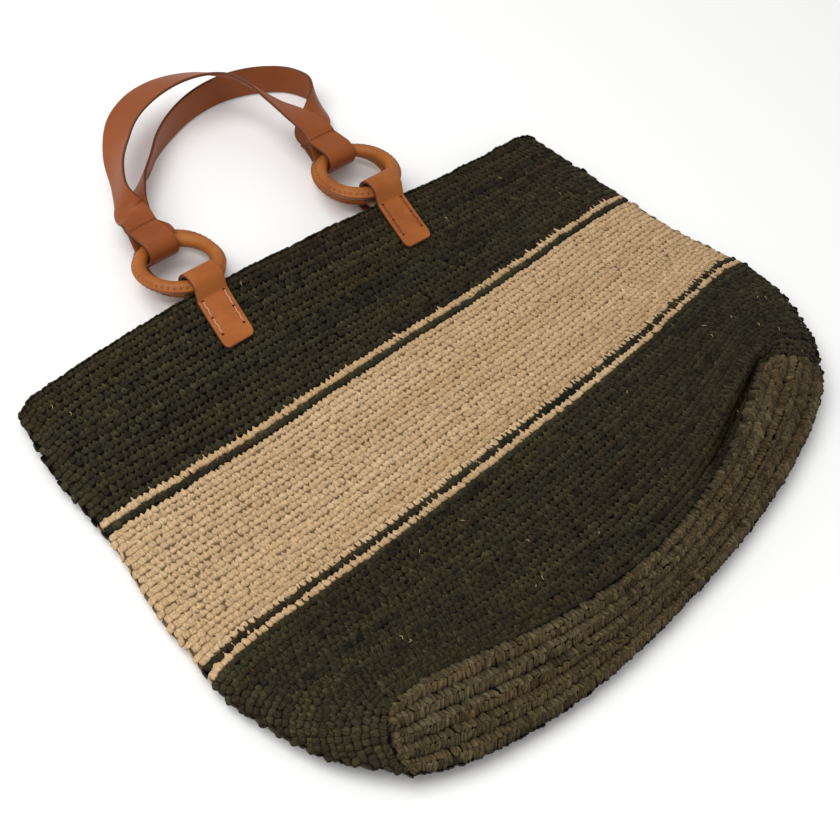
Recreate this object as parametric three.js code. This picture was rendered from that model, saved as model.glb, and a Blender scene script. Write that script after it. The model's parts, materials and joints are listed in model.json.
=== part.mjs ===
// Raffia crochet shoulder bag lying on its back, with leather handles on covered rings.
// Millimetres. X runs along the mouth, Y from the base to the mouth, Z up from the back panel.
import * as THREE from 'three';

// Crochet gauge and rounds, counted from the rim down
const ROUND_HEIGHT = 5.28;
const RIM_ROUNDS = 1;
const UPPER_WALL_ROUNDS = 19;
const NATURAL_BAND_ROUNDS = 20;
const LOWER_WALL_ROUNDS = 24;
const STRIPE_ROUNDS = 1;
const WALL_THICKNESS = 4;
const ROUND_GAP = 0.3;

// Flattened bag: half widths of the mouth and belly, and how the bag lies
const RIM_Y = 180;
const MOUTH_HALF_WIDTH = 250;
const BELLY_HALF_WIDTH = 283;
const BASE_TIP_HALF_WIDTH = 239;
const LIE_LEAN = 0.11;
const LIE_SHIFT = 14;
const LIE_SHIFT_FROM = 0.39;
const LIE_SHIFT_TO = 0.84;
const LEFT_FAN = 8;
const BELLY_LIFT = 7;
const MOUTH_LIFT = 13;
const SIDE_FOLD_HEIGHT = 9;
const SIDE_FOLD_RISE = 6;
const MOUTH_SIDE_RISE = 2;
const MOUTH_REACH = 110;
const BELLY_AT = 0.65;
const BELLY_CURVE = 2;
const PANEL_CROWN_CURVE = 1.5;
const SIDE_FOLD_SHARPNESS = 8;
const SIDE_FOLD_FLAT = 1.03;

// Folded oval base
const BASE_REACH = 0.5;
const BASE_REACH_CURVE = 1.6;
const BASE_LIFT = 9;
const BASE_FOLD_RISE = 8;
const BASE_EDGE_BOW = 80;
const BASE_TIP_DROP = 63;
const KEEL_Y = -216;
const KEEL_RISE = 29;
const KEEL_HALF_LENGTH = 178;
const KEEL_HEIGHT = 11;
const KEEL_CURVE = 2.2;
const BASE_ROUNDNESS = 0.6;
const BASE_HALF_WIDTH = 56;

// Leather, tabs and straps
const LEATHER_THICKNESS = 2.4;
const SEAT_GAP = 0.3;
const TAB_WIDTH = 27;
const TAB_SPACING = 175;
const TAB_LEG_LENGTH = 48;
const TAB_LEAN_DEG = 9.5;
const TAB_CORNER = 4;
const TAB_END_SHARE = 0.82;
const TAB_BEND = 5;
const STRAP_WIDTH = 26;
const STRAP_TAIL = 24;
const STRAP_TAIL_FREE = 6;
const STRAP_STRAIGHT = 3;

// Covered rings
const RING_TUBE_RADIUS = 5;
const RING_MEAN_RADIUS = 28.5;
const RING_LIP = 1;
const RING_LIP_THICKNESS = 2.4;
const RING_SLIT = 0.5;
const RING_COVER_THICKNESS = 1.2;

// How the handles lie
const FRONT_PIVOT_HEIGHT = 36.8;
const FRONT_RING_TILT_DEG = { left: 10.5, right: 8 };
const BACK_RING_TILT_DEG = { left: 0, right: 0 };
const FRONT_STRAP_RISE_DEG = 20;
const BACK_STRAP_RISE_DEG = 0;
const BACK_SET_OUT = 15.5;
const BACK_SHIFT = 14;

// Strap routes between the rings: share of the tab spacing across, distance beyond the rings,
// height over the standing strap's rest, and the share of a quarter turn that the strap stands up
const FRONT_ROUTE = [
  [-0.5, 33, -2.5, 0.4], [-0.485, 46, 0, 0.85], [-0.425, 66, 3, 0.92], [-0.335, 89, 3, 0.82],
  [-0.2, 113, 3, 0.8], [-0.06, 125.5, 3, 0.83], [0.07, 130, 3, 0.86], [0.18, 129, 3, 0.84],
  [0.27, 124.5, 3, 0.76], [0.345, 116.5, 3, 0.66], [0.4, 104, 3.5, 0.57], [0.43, 85, 4, 0.47],
  [0.448, 64, 4, 0.36], [0.47, 47, 3.5, 0.22]
];
const BACK_ROUTE = [
  [-0.46, 40, 0.6, 0.4], [-0.36, 55, 0.9, 0.8], [-0.25, 68, 1, 0.95], [-0.145, 83, 1, 1],
  [-0.01, 96, 1, 1.08], [0.15, 106, 1, 1.1], [0.31, 109.5, 1, 1.1], [0.45, 106.5, 1, 1.08],
  [0.565, 99, 1, 1.05], [0.655, 88, 1, 1], [0.7, 72.5, 1, 0.95], [0.685, 58, 1, 0.75],
  [0.62, 43, 0.8, 0.35]
];

// Colours
const DARK_RAFFIA = 0x332e1f;
const BASE_RAFFIA = 0x4d422c;
const NATURAL_RAFFIA = 0xc8a878;
const TAN_LEATHER = 0xa8652f;
const RING_LEATHER = 0xb0702f;
const CORE_WOOD = 0xb58a58;

// Mesh fineness
const HALF_LOOP_STEPS = 24;
const BASE_STEPS = 6;
const RING_STEPS = 24;
const RING_SECTION_STEPS = 8;
const CORE_SECTION_STEPS = 6;
const STRAP_STEPS = 42;
const FOLD_STEPS = 14;
const LOOP_SWEEP = 4 * Math.PI / 3;
const TAB_ACROSS = 3;
const TAB_LEG_STEPS = 4;
const WALL_STEP = 0.5;
const BASE_STEP = 0.002;

const WALL_ROUNDS = RIM_ROUNDS + UPPER_WALL_ROUNDS + NATURAL_BAND_ROUNDS + LOWER_WALL_ROUNDS + 4 * STRIPE_ROUNDS;
const WALL_DEPTH = WALL_ROUNDS * ROUND_HEIGHT;
const BELLY_DEPTH = BELLY_AT * WALL_DEPTH;
const HALF_WALL = WALL_THICKNESS / 2;
const HALF_LEATHER = LEATHER_THICKNESS / 2;
const RING_OUTER_RADIUS = RING_MEAN_RADIUS + RING_TUBE_RADIUS + RING_LIP;
const RING_INNER_RADIUS = (RING_MEAN_RADIUS - RING_TUBE_RADIUS) * Math.cos(Math.PI / RING_STEPS);

// A ring turns about a line set midway between its outer edge and its hole's edge at the tab's sides
const RING_HOLE_AT_TAB = Math.sqrt(RING_INNER_RADIUS ** 2 - (TAB_WIDTH / 2) ** 2);
const RING_PIVOT_RADIUS = (RING_OUTER_RADIUS + RING_HOLE_AT_TAB) / 2;
const RING_REACH = (RING_OUTER_RADIUS - RING_HOLE_AT_TAB) / 2;
const TAB_LOOP_RADIUS = loopRadiusFor(TAB_WIDTH, 0);
const FRONT_PIVOT = { y: RIM_Y + RING_REACH + 2 * SEAT_GAP, z: FRONT_PIVOT_HEIGHT };
const BACK_PIVOT = { y: FRONT_PIVOT.y + BACK_SET_OUT, z: TAB_LOOP_RADIUS + HALF_LEATHER + SEAT_GAP };
const FRONT_STRAP_REST = 1.5 * STRAP_WIDTH;
const BACK_STRAP_REST = 0.5 * STRAP_WIDTH;

const radians = (degrees) => THREE.MathUtils.degToRad(degrees);
const vector = (x, y, z) => new THREE.Vector3(x, y, z);

// Bag surface

// Half width of the flattened bag at a depth below the rim
function halfWidth(depth) {
  if (depth < BELLY_DEPTH) {
    return THREE.MathUtils.lerp(MOUTH_HALF_WIDTH, BELLY_HALF_WIDTH, depth / BELLY_DEPTH);
  }
  const share = (depth - BELLY_DEPTH) / (WALL_DEPTH - BELLY_DEPTH);
  return THREE.MathUtils.lerp(BELLY_HALF_WIDTH, BASE_TIP_HALF_WIDTH, share ** BELLY_CURVE);
}

// How strongly the open mouth and the folded base shape a round at a depth
function mouthShare(depth) {
  return Math.max(0, 1 - depth / MOUTH_REACH) ** 2;
}
function baseShare(depth) {
  return Math.max(0, (depth / WALL_DEPTH - 1 + BASE_REACH) / BASE_REACH) ** BASE_REACH_CURVE;
}

// The back panel is lifted by the tabs' back legs beneath it
function tabLift(depth) {
  return 1 - THREE.MathUtils.smoothstep(depth, TAB_LEG_LENGTH + TAB_CORNER, 2.5 * TAB_LEG_LENGTH);
}

// Rounding of the folded sides at a place across the bag, -1 to 1
function sideFold(across) {
  return Math.sqrt(Math.max(0, 1 - across ** SIDE_FOLD_SHARPNESS));
}

// Height of the wall's middle surface over a place across the bag
function wallHeight(depth, across, isFront) {
  const mouth = mouthShare(depth);
  const base = baseShare(depth);
  const side = SIDE_FOLD_HEIGHT + MOUTH_SIDE_RISE * mouth + BASE_LIFT * base;
  const fold = Math.min(1, SIDE_FOLD_FLAT * sideFold(across));
  if (isFront) {
    const rise = SIDE_FOLD_RISE - MOUTH_SIDE_RISE * mouth + BASE_FOLD_RISE * base;
    const lift = (BELLY_LIFT + MOUTH_LIFT * mouth) * (1 - across * across) ** PANEL_CROWN_CURVE;
    return side + rise * fold + lift;
  }
  const rest = HALF_WALL + (LEATHER_THICKNESS + SEAT_GAP) * tabLift(depth);
  return side - (side - rest) * fold;
}

// A point on the wall's middle surface: turn 0 to 2 crosses the front from right to left, 2 to 4 the back
function wallPoint(depth, turn) {
  const isFront = turn <= 2;
  const along = isFront ? 1 - turn : turn - 3;
  const across = Math.sin(along * Math.PI / 2);
  const base = baseShare(depth);
  const shift = LIE_SHIFT * THREE.MathUtils.smoothstep(depth / WALL_DEPTH, LIE_SHIFT_FROM, LIE_SHIFT_TO);
  const x = halfWidth(depth) * across + shift;
  const lean = LIE_LEAN * depth / WALL_DEPTH;
  const bow = base * (BASE_EDGE_BOW * across * across - BASE_TIP_DROP * (1 - sideFold(across)));
  const fan = LEFT_FAN * Math.sin(Math.PI * Math.min(1, depth / BELLY_DEPTH)) * Math.min(0, across) ** 2;
  return vector(x, RIM_Y - depth + lean * x + bow + fan, wallHeight(depth, across, isFront));
}

// A point on the base's middle surface: share 0 at the wall, 1 on the fold along its middle
function basePoint(share, turn) {
  const edge = wallPoint(WALL_DEPTH, turn);
  const x = edge.x * KEEL_HALF_LENGTH / BASE_TIP_HALF_WIDTH;
  const keelY = KEEL_Y + KEEL_RISE * (Math.abs(x) / KEEL_HALF_LENGTH) ** KEEL_CURVE + LIE_LEAN * x;
  const quarter = share * Math.PI / 2;
  const shareY = THREE.MathUtils.lerp(share, Math.sin(quarter), BASE_ROUNDNESS);
  const shareZ = THREE.MathUtils.lerp(share, 1 - Math.cos(quarter), BASE_ROUNDNESS);
  return vector(
    THREE.MathUtils.lerp(edge.x, x, share),
    THREE.MathUtils.lerp(edge.y, keelY, shareY),
    THREE.MathUtils.lerp(edge.z, KEEL_HEIGHT, shareZ)
  );
}

// Outward normal of a surface given as point(down, turn)
function surfaceNormal(point, down, turn, step) {
  const wrap = (value) => (value + 4) % 4;
  const alongTurn = point(down, wrap(turn + 0.01)).sub(point(down, wrap(turn - 0.01)));
  const alongDown = point(down + step, turn).sub(point(down - step, turn));
  return alongDown.cross(alongTurn).negate().normalize();
}

// A closed shell between two skins whose rounds are rings of points
function shellGeometry(rings, zipLast) {
  const around = 2 * HALF_LOOP_STEPS;
  const last = rings.length - 1;
  const points = [];
  const index = [];
  const slot = (skin, ring, k) => {
    let column = (k + around) % around;
    if (zipLast && ring === last && column > HALF_LOOP_STEPS) {
      column = around - column;
    }
    return (skin * rings.length + ring) * around + column;
  };
  for (const skin of [1, -1]) {
    for (const ring of rings) {
      for (const { point, normal } of ring) {
        points.push(...point.clone().addScaledVector(normal, skin * HALF_WALL).toArray());
      }
    }
  }
  const quad = (a, b, c, d) => {
    if (a !== b && b !== c && a !== c) index.push(a, b, c);
    if (a !== c && c !== d && a !== d) index.push(a, c, d);
  };
  for (let ring = 0; ring < last; ring += 1) {
    for (let k = 0; k < around; k += 1) {
      quad(slot(0, ring, k), slot(0, ring, k + 1), slot(0, ring + 1, k + 1), slot(0, ring + 1, k));
      quad(slot(1, ring, k), slot(1, ring + 1, k), slot(1, ring + 1, k + 1), slot(1, ring, k + 1));
    }
  }
  for (let k = 0; k < around; k += 1) {
    quad(slot(0, 0, k), slot(1, 0, k), slot(1, 0, k + 1), slot(0, 0, k + 1));
    if (!zipLast) {
      quad(slot(0, last, k), slot(0, last, k + 1), slot(1, last, k + 1), slot(1, last, k));
    }
  }
  return solidGeometry(points, index);
}

function solidGeometry(points, index) {
  const geometry = new THREE.BufferGeometry();
  geometry.setAttribute('position', new THREE.Float32BufferAttribute(points, 3));
  geometry.setIndex(index);
  geometry.computeVertexNormals();
  return geometry;
}

function ringOfPoints(point, down, step) {
  const ring = [];
  for (let k = 0; k < 2 * HALF_LOOP_STEPS; k += 1) {
    const turn = 2 * k / HALF_LOOP_STEPS;
    ring.push({ point: point(down, turn), normal: surfaceNormal(point, down, turn, step) });
  }
  return ring;
}

// The seam between wall and base: each side's end ring leans half way, so that the two faces meet square
function seamRing(ring) {
  const wallEnd = ringOfPoints(wallPoint, WALL_DEPTH, WALL_STEP);
  const baseStart = ringOfPoints(basePoint, BASE_STEP, BASE_STEP);
  return ring.map(({ point }, k) => {
    const normal = wallEnd[k].normal.clone().add(baseStart[k].normal).normalize();
    return { point, normal };
  });
}

// One colour's rounds of the wall, from one depth to another
function wallRounds(from, to, steps) {
  const rings = [];
  for (let i = 0; i <= steps; i += 1) {
    const depth = THREE.MathUtils.lerp(from + ROUND_GAP / 2, to - ROUND_GAP / 2, i / steps);
    rings.push(ringOfPoints(wallPoint, depth, WALL_STEP));
  }
  if (to > WALL_DEPTH - ROUND_GAP) {
    rings.push(seamRing(rings.pop()));
  }
  return shellGeometry(rings, false);
}

// The oval base, folded along its middle
function baseOval() {
  const firstShare = 2 * ROUND_GAP / BASE_HALF_WIDTH;
  const rings = [seamRing(ringOfPoints(basePoint, firstShare, BASE_STEP))];
  for (let i = 1; i < BASE_STEPS; i += 1) {
    rings.push(ringOfPoints(basePoint, i / BASE_STEPS, BASE_STEP));
  }
  const fold = vector(0, -1, 0);
  rings.push(ringOfPoints(basePoint, 1, BASE_STEP).map(({ point }) => ({ point, normal: fold })));
  return shellGeometry(rings, true);
}

// Leather strips

// A closed strip from stations along its length, each a row of points across it with normals
function stripGeometry(stations, halfThickness) {
  const across = stations[0].length;
  const points = [];
  const index = [];
  const slot = (skin, i, j) => (skin * stations.length + i) * across + j;
  for (const skin of [1, -1]) {
    for (const row of stations) {
      for (const { point, normal } of row) {
        points.push(...point.clone().addScaledVector(normal, skin * halfThickness).toArray());
      }
    }
  }
  const quad = (a, b, c, d) => index.push(a, b, c, a, c, d);
  const lastRow = stations.length - 1;
  const lastColumn = across - 1;
  for (let i = 0; i < lastRow; i += 1) {
    for (let j = 0; j < lastColumn; j += 1) {
      quad(slot(0, i, j), slot(0, i, j + 1), slot(0, i + 1, j + 1), slot(0, i + 1, j));
      quad(slot(1, i, j), slot(1, i + 1, j), slot(1, i + 1, j + 1), slot(1, i, j + 1));
    }
    quad(slot(1, i, 0), slot(0, i, 0), slot(0, i + 1, 0), slot(1, i + 1, 0));
    quad(slot(0, i, lastColumn), slot(1, i, lastColumn), slot(1, i + 1, lastColumn), slot(0, i + 1, lastColumn));
  }
  for (let j = 0; j < lastColumn; j += 1) {
    quad(slot(1, 0, j), slot(1, 0, j + 1), slot(0, 0, j + 1), slot(0, 0, j));
    quad(slot(0, lastRow, j), slot(0, lastRow, j + 1), slot(1, lastRow, j + 1), slot(1, lastRow, j));
  }
  return solidGeometry(points, index);
}

// Middle radius of a leather loop that a ring turns in, from the ring's reach within the strip's width
function loopRadiusFor(stripWidth, skew) {
  const inward = RING_PIVOT_RADIUS - Math.sqrt(RING_INNER_RADIUS ** 2 - (stripWidth / 2) ** 2);
  const sideways = RING_LIP_THICKNESS / 2 + skew * stripWidth / 2;
  const reach = Math.hypot(Math.max(inward, RING_REACH), sideways);
  return (reach + SEAT_GAP) / Math.cos(LOOP_SWEEP / FOLD_STEPS / 2) + HALF_LEATHER;
}

// A tab: one leg outside the wall, a loop round the ring's pivot line, one leg inside
function tabGeometry(pivotX, pivot, isFront) {
  const outside = isFront ? 1 : -1;
  const seat = HALF_WALL + SEAT_GAP + HALF_LEATHER;
  const legStart = RIM_Y - TAB_LEG_LENGTH;
  const legTop = RIM_Y - TAB_BEND;
  const columns = [];
  for (let j = 0; j <= TAB_ACROSS; j += 1) {
    const sideways = (j / TAB_ACROSS - 0.5) * TAB_WIDTH;
    columns.push(tabPath(sideways));
  }
  const stations = columns[0].map((unused, i) => columns.map((column) => column[i]));
  return stripGeometry(outside > 0 ? stations : stations.slice().reverse(), HALF_LEATHER);

  function tabPath(sideways) {
    const leg = (y, layer) => {
      const narrow = THREE.MathUtils.lerp(TAB_END_SHARE, 1, Math.min(1, (y - legStart) / TAB_CORNER));
      const x = pivotX - (RIM_Y - y) * Math.tan(radians(TAB_LEAN_DEG)) + sideways * narrow;
      const depth = RIM_Y - y;
      return vector(x, y, wallHeight(depth, x / halfWidth(depth), isFront) + layer * seat);
    };
    const path = [];
    const legPlaces = [legStart, legStart + TAB_CORNER / 2];
    for (let i = 0; i <= TAB_LEG_STEPS; i += 1) {
      legPlaces.push(THREE.MathUtils.lerp(legStart + TAB_CORNER, legTop, i / TAB_LEG_STEPS));
    }
    for (const place of legPlaces) {
      path.push(leg(place, outside));
    }
    const onLoop = (angle) => vector(
      pivotX + sideways,
      pivot.y + TAB_LOOP_RADIUS * Math.cos(angle),
      pivot.z + TAB_LOOP_RADIUS * Math.sin(angle)
    );
    const touchAngle = (layer) => {
      const top = leg(legTop, layer);
      const toLeg = Math.atan2(layer * (top.z - pivot.z), top.y - pivot.y);
      const positive = toLeg < 0 ? toLeg + 2 * Math.PI : toLeg;
      const opening = Math.acos(TAB_LOOP_RADIUS / Math.hypot(top.y - pivot.y, top.z - pivot.z));
      return layer * (positive - opening);
    };
    const firstAngle = touchAngle(outside);
    const lastAngle = touchAngle(-outside);
    path.push(leg(legTop, outside).lerp(onLoop(firstAngle), 0.5));
    for (let i = 0; i <= FOLD_STEPS; i += 1) {
      path.push(onLoop(THREE.MathUtils.lerp(firstAngle, lastAngle, i / FOLD_STEPS)));
    }
    path.push(leg(legTop, -outside).lerp(onLoop(lastAngle), 0.5));
    for (const place of legPlaces.slice().reverse()) {
      path.push(leg(place, -outside));
    }
    return path.map((point, i) => {
      const before = path[Math.max(0, i - 1)];
      const after = path[Math.min(path.length - 1, i + 1)];
      const tangent = after.clone().sub(before);
      tangent.x = 0;
      return { point, normal: vector(1, 0, 0).cross(tangent).normalize().multiplyScalar(outside) };
    });
  }
}

// A handle strap: folded round both rings and sewn to its own tails, standing on edge through the arch
function strapGeometry(ends, route, rest, riseDeg, shift) {
  const axis = ends.right.clone().sub(ends.left).normalize();
  const skew = Math.hypot(axis.y, axis.z) / axis.x;
  const loopRadius = loopRadiusFor(STRAP_WIDTH, skew);
  const outward = vector(0, Math.cos(radians(riseDeg)), Math.sin(radians(riseDeg)));
  outward.addScaledVector(axis, -outward.dot(axis)).normalize();
  const upward = axis.clone().cross(outward);
  const layer = HALF_LEATHER + SEAT_GAP / 2;
  const closing = STRAP_TAIL - STRAP_TAIL_FREE;
  const openAngle = Math.atan2(layer, closing) + Math.acos(loopRadius / Math.hypot(closing, layer));
  const place = (end, out, up) => end.clone().addScaledVector(outward, out).addScaledVector(upward, up);
  const foldPath = (end) => {
    const path = [place(end, STRAP_TAIL, -layer), place(end, closing, -layer)];
    for (let i = 0; i <= FOLD_STEPS; i += 1) {
      const angle = THREE.MathUtils.lerp(-openAngle, openAngle - 2 * Math.PI, i / FOLD_STEPS);
      path.push(place(end, loopRadius * Math.cos(angle), loopRadius * Math.sin(angle)));
    }
    path.push(place(end, closing, layer));
    return path.map((point) => ({ point, stand: 0 }));
  };
  const start = place(ends.left, closing, layer);
  const finish = place(ends.right, closing, layer);
  const knots = [start, place(ends.left, STRAP_TAIL + STRAP_STRAIGHT, layer)];
  const stands = [0, 0];
  const ringsEnd = (ends.left.y + ends.right.y) / 2;
  for (const [across, beyond, height, stand] of route) {
    knots.push(vector(shift + across * TAB_SPACING, ringsEnd + beyond, rest + height));
    stands.push(stand);
  }
  knots.push(place(ends.right, STRAP_TAIL + STRAP_STRAIGHT, layer), finish);
  stands.push(0, 0);
  const curve = new THREE.CatmullRomCurve3(knots, false, 'centripetal');
  const arch = [];
  for (let i = 1; i < STRAP_STEPS; i += 1) {
    const at = i / STRAP_STEPS;
    const knot = at * (stands.length - 1);
    const low = Math.min(Math.floor(knot), stands.length - 2);
    arch.push({ point: curve.getPoint(at), stand: THREE.MathUtils.lerp(stands[low], stands[low + 1], knot - low) });
  }
  const left = foldPath(ends.left);
  const right = foldPath(ends.right).reverse();
  const path = [...left, ...arch, ...right];
  const stations = path.map(({ point, stand }, i) => {
    const tangent = path[Math.min(path.length - 1, i + 1)].point.clone();
    tangent.sub(path[Math.max(0, i - 1)].point).normalize();
    let width = axis.clone();
    if (i >= left.length && i < left.length + arch.length) {
      const turn = stand * Math.PI / 2;
      const level = tangent.clone().cross(vector(0, 0, 1)).normalize();
      width = level.multiplyScalar(Math.cos(turn)).add(vector(0, 0, Math.sin(turn)));
    } else if (i >= left.length + arch.length) {
      width.negate();
    }
    width.addScaledVector(tangent, -width.dot(tangent)).normalize();
    const normal = width.clone().cross(tangent).normalize();
    return [-0.5, 0.5].map((side) => ({
      point: point.clone().addScaledVector(width, side * STRAP_WIDTH),
      normal
    }));
  });
  return stripGeometry(stations, HALF_LEATHER);
}

// Rings

// Leather cover: a C-shaped section that meets in two lips on the ring's outer side
function coverGeometry() {
  const halfSlit = RING_SLIT / 2;
  const halfLip = RING_LIP_THICKNESS / 2;
  const inside = RING_TUBE_RADIUS - RING_COVER_THICKNESS;
  const profile = [];
  const arc = (radius, from, to) => {
    for (let i = 0; i <= RING_SECTION_STEPS; i += 1) {
      const angle = THREE.MathUtils.lerp(from, to, i / RING_SECTION_STEPS);
      const x = RING_MEAN_RADIUS + radius * Math.cos(angle);
      profile.push(new THREE.Vector2(x, radius * Math.sin(angle)));
    }
  };
  const outerOpen = Math.asin(halfLip / RING_TUBE_RADIUS);
  const innerOpen = Math.asin(halfSlit / inside);
  arc(RING_TUBE_RADIUS, outerOpen, 2 * Math.PI - outerOpen);
  profile.push(new THREE.Vector2(RING_OUTER_RADIUS, -halfLip), new THREE.Vector2(RING_OUTER_RADIUS, -halfSlit));
  arc(inside, 2 * Math.PI - innerOpen, innerOpen);
  profile.push(new THREE.Vector2(RING_OUTER_RADIUS, halfSlit), new THREE.Vector2(RING_OUTER_RADIUS, halfLip));
  profile.push(profile[0].clone());
  return new THREE.LatheGeometry(profile, RING_STEPS).rotateX(Math.PI / 2);
}

function coreGeometry() {
  const radius = RING_TUBE_RADIUS - RING_COVER_THICKNESS - SEAT_GAP;
  return new THREE.TorusGeometry(RING_MEAN_RADIUS, radius, CORE_SECTION_STEPS, RING_STEPS);
}

// Assembly

const bag = new THREE.Group();

function addPiece(name, geometry, color, roughness) {
  const material = new THREE.MeshStandardMaterial({ color, roughness, metalness: 0 });
  const mesh = new THREE.Mesh(geometry, material);
  mesh.name = name;
  bag.add(mesh);
  return mesh;
}

const wallPieces = [
  ['rim_round', RIM_ROUNDS, DARK_RAFFIA, 1],
  ['upper_wall', UPPER_WALL_ROUNDS, DARK_RAFFIA, 5],
  ['upper_natural_round', STRIPE_ROUNDS, NATURAL_RAFFIA, 1],
  ['upper_dark_round', STRIPE_ROUNDS, DARK_RAFFIA, 1],
  ['natural_band', NATURAL_BAND_ROUNDS, NATURAL_RAFFIA, 3],
  ['lower_dark_round', STRIPE_ROUNDS, DARK_RAFFIA, 1],
  ['lower_natural_round', STRIPE_ROUNDS, NATURAL_RAFFIA, 1],
  ['lower_wall', LOWER_WALL_ROUNDS, DARK_RAFFIA, 6]
];
let depth = 0;
for (const [name, rounds, color, steps] of wallPieces) {
  addPiece(name, wallRounds(depth, depth + rounds * ROUND_HEIGHT, steps), color, 0.9);
  depth += rounds * ROUND_HEIGHT;
}
addPiece('base_oval', baseOval(), BASE_RAFFIA, 0.9);

function addHandle(face, pivot, tilts, route, rest, riseDeg, shift) {
  const ends = {};
  for (const side of ['left', 'right']) {
    const x = shift + (side === 'left' ? -0.5 : 0.5) * TAB_SPACING;
    const tilt = -radians(tilts[side]);
    addPiece(`tab_${face}_${side}`, tabGeometry(x, pivot, face === 'front'), TAN_LEATHER, 0.55);
    const centre = vector(x, pivot.y + RING_PIVOT_RADIUS * Math.cos(tilt), pivot.z + RING_PIVOT_RADIUS * Math.sin(tilt));
    for (const [piece, geometry, color] of [
      ['ring_cover', coverGeometry(), RING_LEATHER],
      ['ring_core', coreGeometry(), CORE_WOOD]
    ]) {
      const mesh = addPiece(`${piece}_${face}_${side}`, geometry, color, 0.5);
      mesh.position.copy(centre);
      mesh.rotation.x = tilt;
    }
    ends[side] = vector(
      x,
      pivot.y + 2 * RING_PIVOT_RADIUS * Math.cos(tilt),
      pivot.z + 2 * RING_PIVOT_RADIUS * Math.sin(tilt)
    );
  }
  addPiece(`strap_${face}`, strapGeometry(ends, route, rest, riseDeg, shift), TAN_LEATHER, 0.55);
}

addHandle('front', FRONT_PIVOT, FRONT_RING_TILT_DEG, FRONT_ROUTE, FRONT_STRAP_REST, FRONT_STRAP_RISE_DEG, 0);
addHandle('back', BACK_PIVOT, BACK_RING_TILT_DEG, BACK_ROUTE, BACK_STRAP_REST, BACK_STRAP_RISE_DEG, BACK_SHIFT);

export default bag;
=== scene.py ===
"""Crocheted raffia bag with leather handles: every stitch, strip and thread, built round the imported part."""

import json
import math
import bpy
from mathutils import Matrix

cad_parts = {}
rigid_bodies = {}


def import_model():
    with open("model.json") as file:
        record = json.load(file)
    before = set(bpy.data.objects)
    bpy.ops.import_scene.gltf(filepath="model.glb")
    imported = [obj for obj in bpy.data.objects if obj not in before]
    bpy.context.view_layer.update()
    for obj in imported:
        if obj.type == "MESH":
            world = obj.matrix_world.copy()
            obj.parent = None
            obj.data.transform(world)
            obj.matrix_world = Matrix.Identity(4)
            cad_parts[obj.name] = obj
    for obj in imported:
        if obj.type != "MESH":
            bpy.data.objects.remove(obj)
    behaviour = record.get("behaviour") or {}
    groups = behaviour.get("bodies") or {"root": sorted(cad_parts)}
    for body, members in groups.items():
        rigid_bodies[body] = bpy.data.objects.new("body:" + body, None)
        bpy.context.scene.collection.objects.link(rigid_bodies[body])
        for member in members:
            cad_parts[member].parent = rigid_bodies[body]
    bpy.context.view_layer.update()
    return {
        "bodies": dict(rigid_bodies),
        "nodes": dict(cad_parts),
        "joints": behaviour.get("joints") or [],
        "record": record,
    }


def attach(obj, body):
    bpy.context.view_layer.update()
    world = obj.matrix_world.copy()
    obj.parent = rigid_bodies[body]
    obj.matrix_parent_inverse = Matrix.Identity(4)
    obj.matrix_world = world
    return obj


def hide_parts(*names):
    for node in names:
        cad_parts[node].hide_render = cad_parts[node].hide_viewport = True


bl_info = {
    "name": "Raffia Crochet Bag",
    "version": (1, 0, 0),
    "blender": (4, 5, 0),
    "location": "View3D > Sidebar > Raffia Bag",
    "description": "Builds a crocheted raffia bag with leather handles, stitch by stitch",
    "category": "Add Mesh",
}

from typing import NamedTuple

import bpy
import numpy as np
from mathutils import Matrix, Vector

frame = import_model()

MM = 0.001
SEED = 7

# Runs of crochet from the rim down: piece, reach, rounds (the natural raffia is worked tighter), raffia
ROUND_HEIGHT = 5.28
WALL_RUNS = [
    ("rim_round", ROUND_HEIGHT, 1, "dark"),
    ("upper_wall", 19 * ROUND_HEIGHT, 18, "dark"),
    ("upper_natural_round", ROUND_HEIGHT, 1, "natural"),
    ("upper_dark_round", ROUND_HEIGHT, 1, "dark"),
    ("natural_band", 20 * ROUND_HEIGHT, 21, "natural"),
    ("lower_dark_round", ROUND_HEIGHT, 1, "dark"),
    ("lower_natural_round", ROUND_HEIGHT, 1, "natural"),
    ("lower_wall", 24 * ROUND_HEIGHT, 23, "dark"),
]
WALL_DEPTH = sum(reach for piece, reach, rounds, raffia in WALL_RUNS)
HALF_WALL = 2.0

# How the flattened bag lies
RIM_Y = 180.0
MOUTH_HALF_WIDTH = 250.0
BELLY_HALF_WIDTH = 283.0
BASE_TIP_HALF_WIDTH = 239.0
LIE_LEAN = 0.11
LIE_SHIFT = 14.0
LIE_SHIFT_FROM = 0.39
LIE_SHIFT_TO = 0.84
LEFT_FAN = 8.0
BELLY_LIFT = 7.0
MOUTH_LIFT = 13.0
SIDE_FOLD_HEIGHT = 9.0
SIDE_FOLD_RISE = 6.0
MOUTH_SIDE_RISE = 2.0
MOUTH_REACH = 110.0
BELLY_DEPTH = 0.65 * WALL_DEPTH
PANEL_CROWN_CURVE = 1.5
SIDE_FOLD_SHARPNESS = 8
SIDE_FOLD_FLAT = 1.03

# Folded oval base
BASE_REACH = 0.5
BASE_REACH_CURVE = 1.6
BASE_LIFT = 9.0
BASE_FOLD_RISE = 8.0
BASE_EDGE_BOW = 80.0
BASE_TIP_DROP = 63.0
KEEL_HEIGHT = 11.0
BASE_ROUNDNESS = 0.6
BASE_RIDGES = 5
BASE_ROW_STEP = 5.2
BASE_ROW_FIT = (0.5, 1.3)
BASE_STITCH_PITCH = 3.5
BASE_RIDGE_RISE = 1.7
BASE_LEVEL = 0.6
BASE_LOOSE = 0.2
BASE_END_INSET = 0.012

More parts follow.
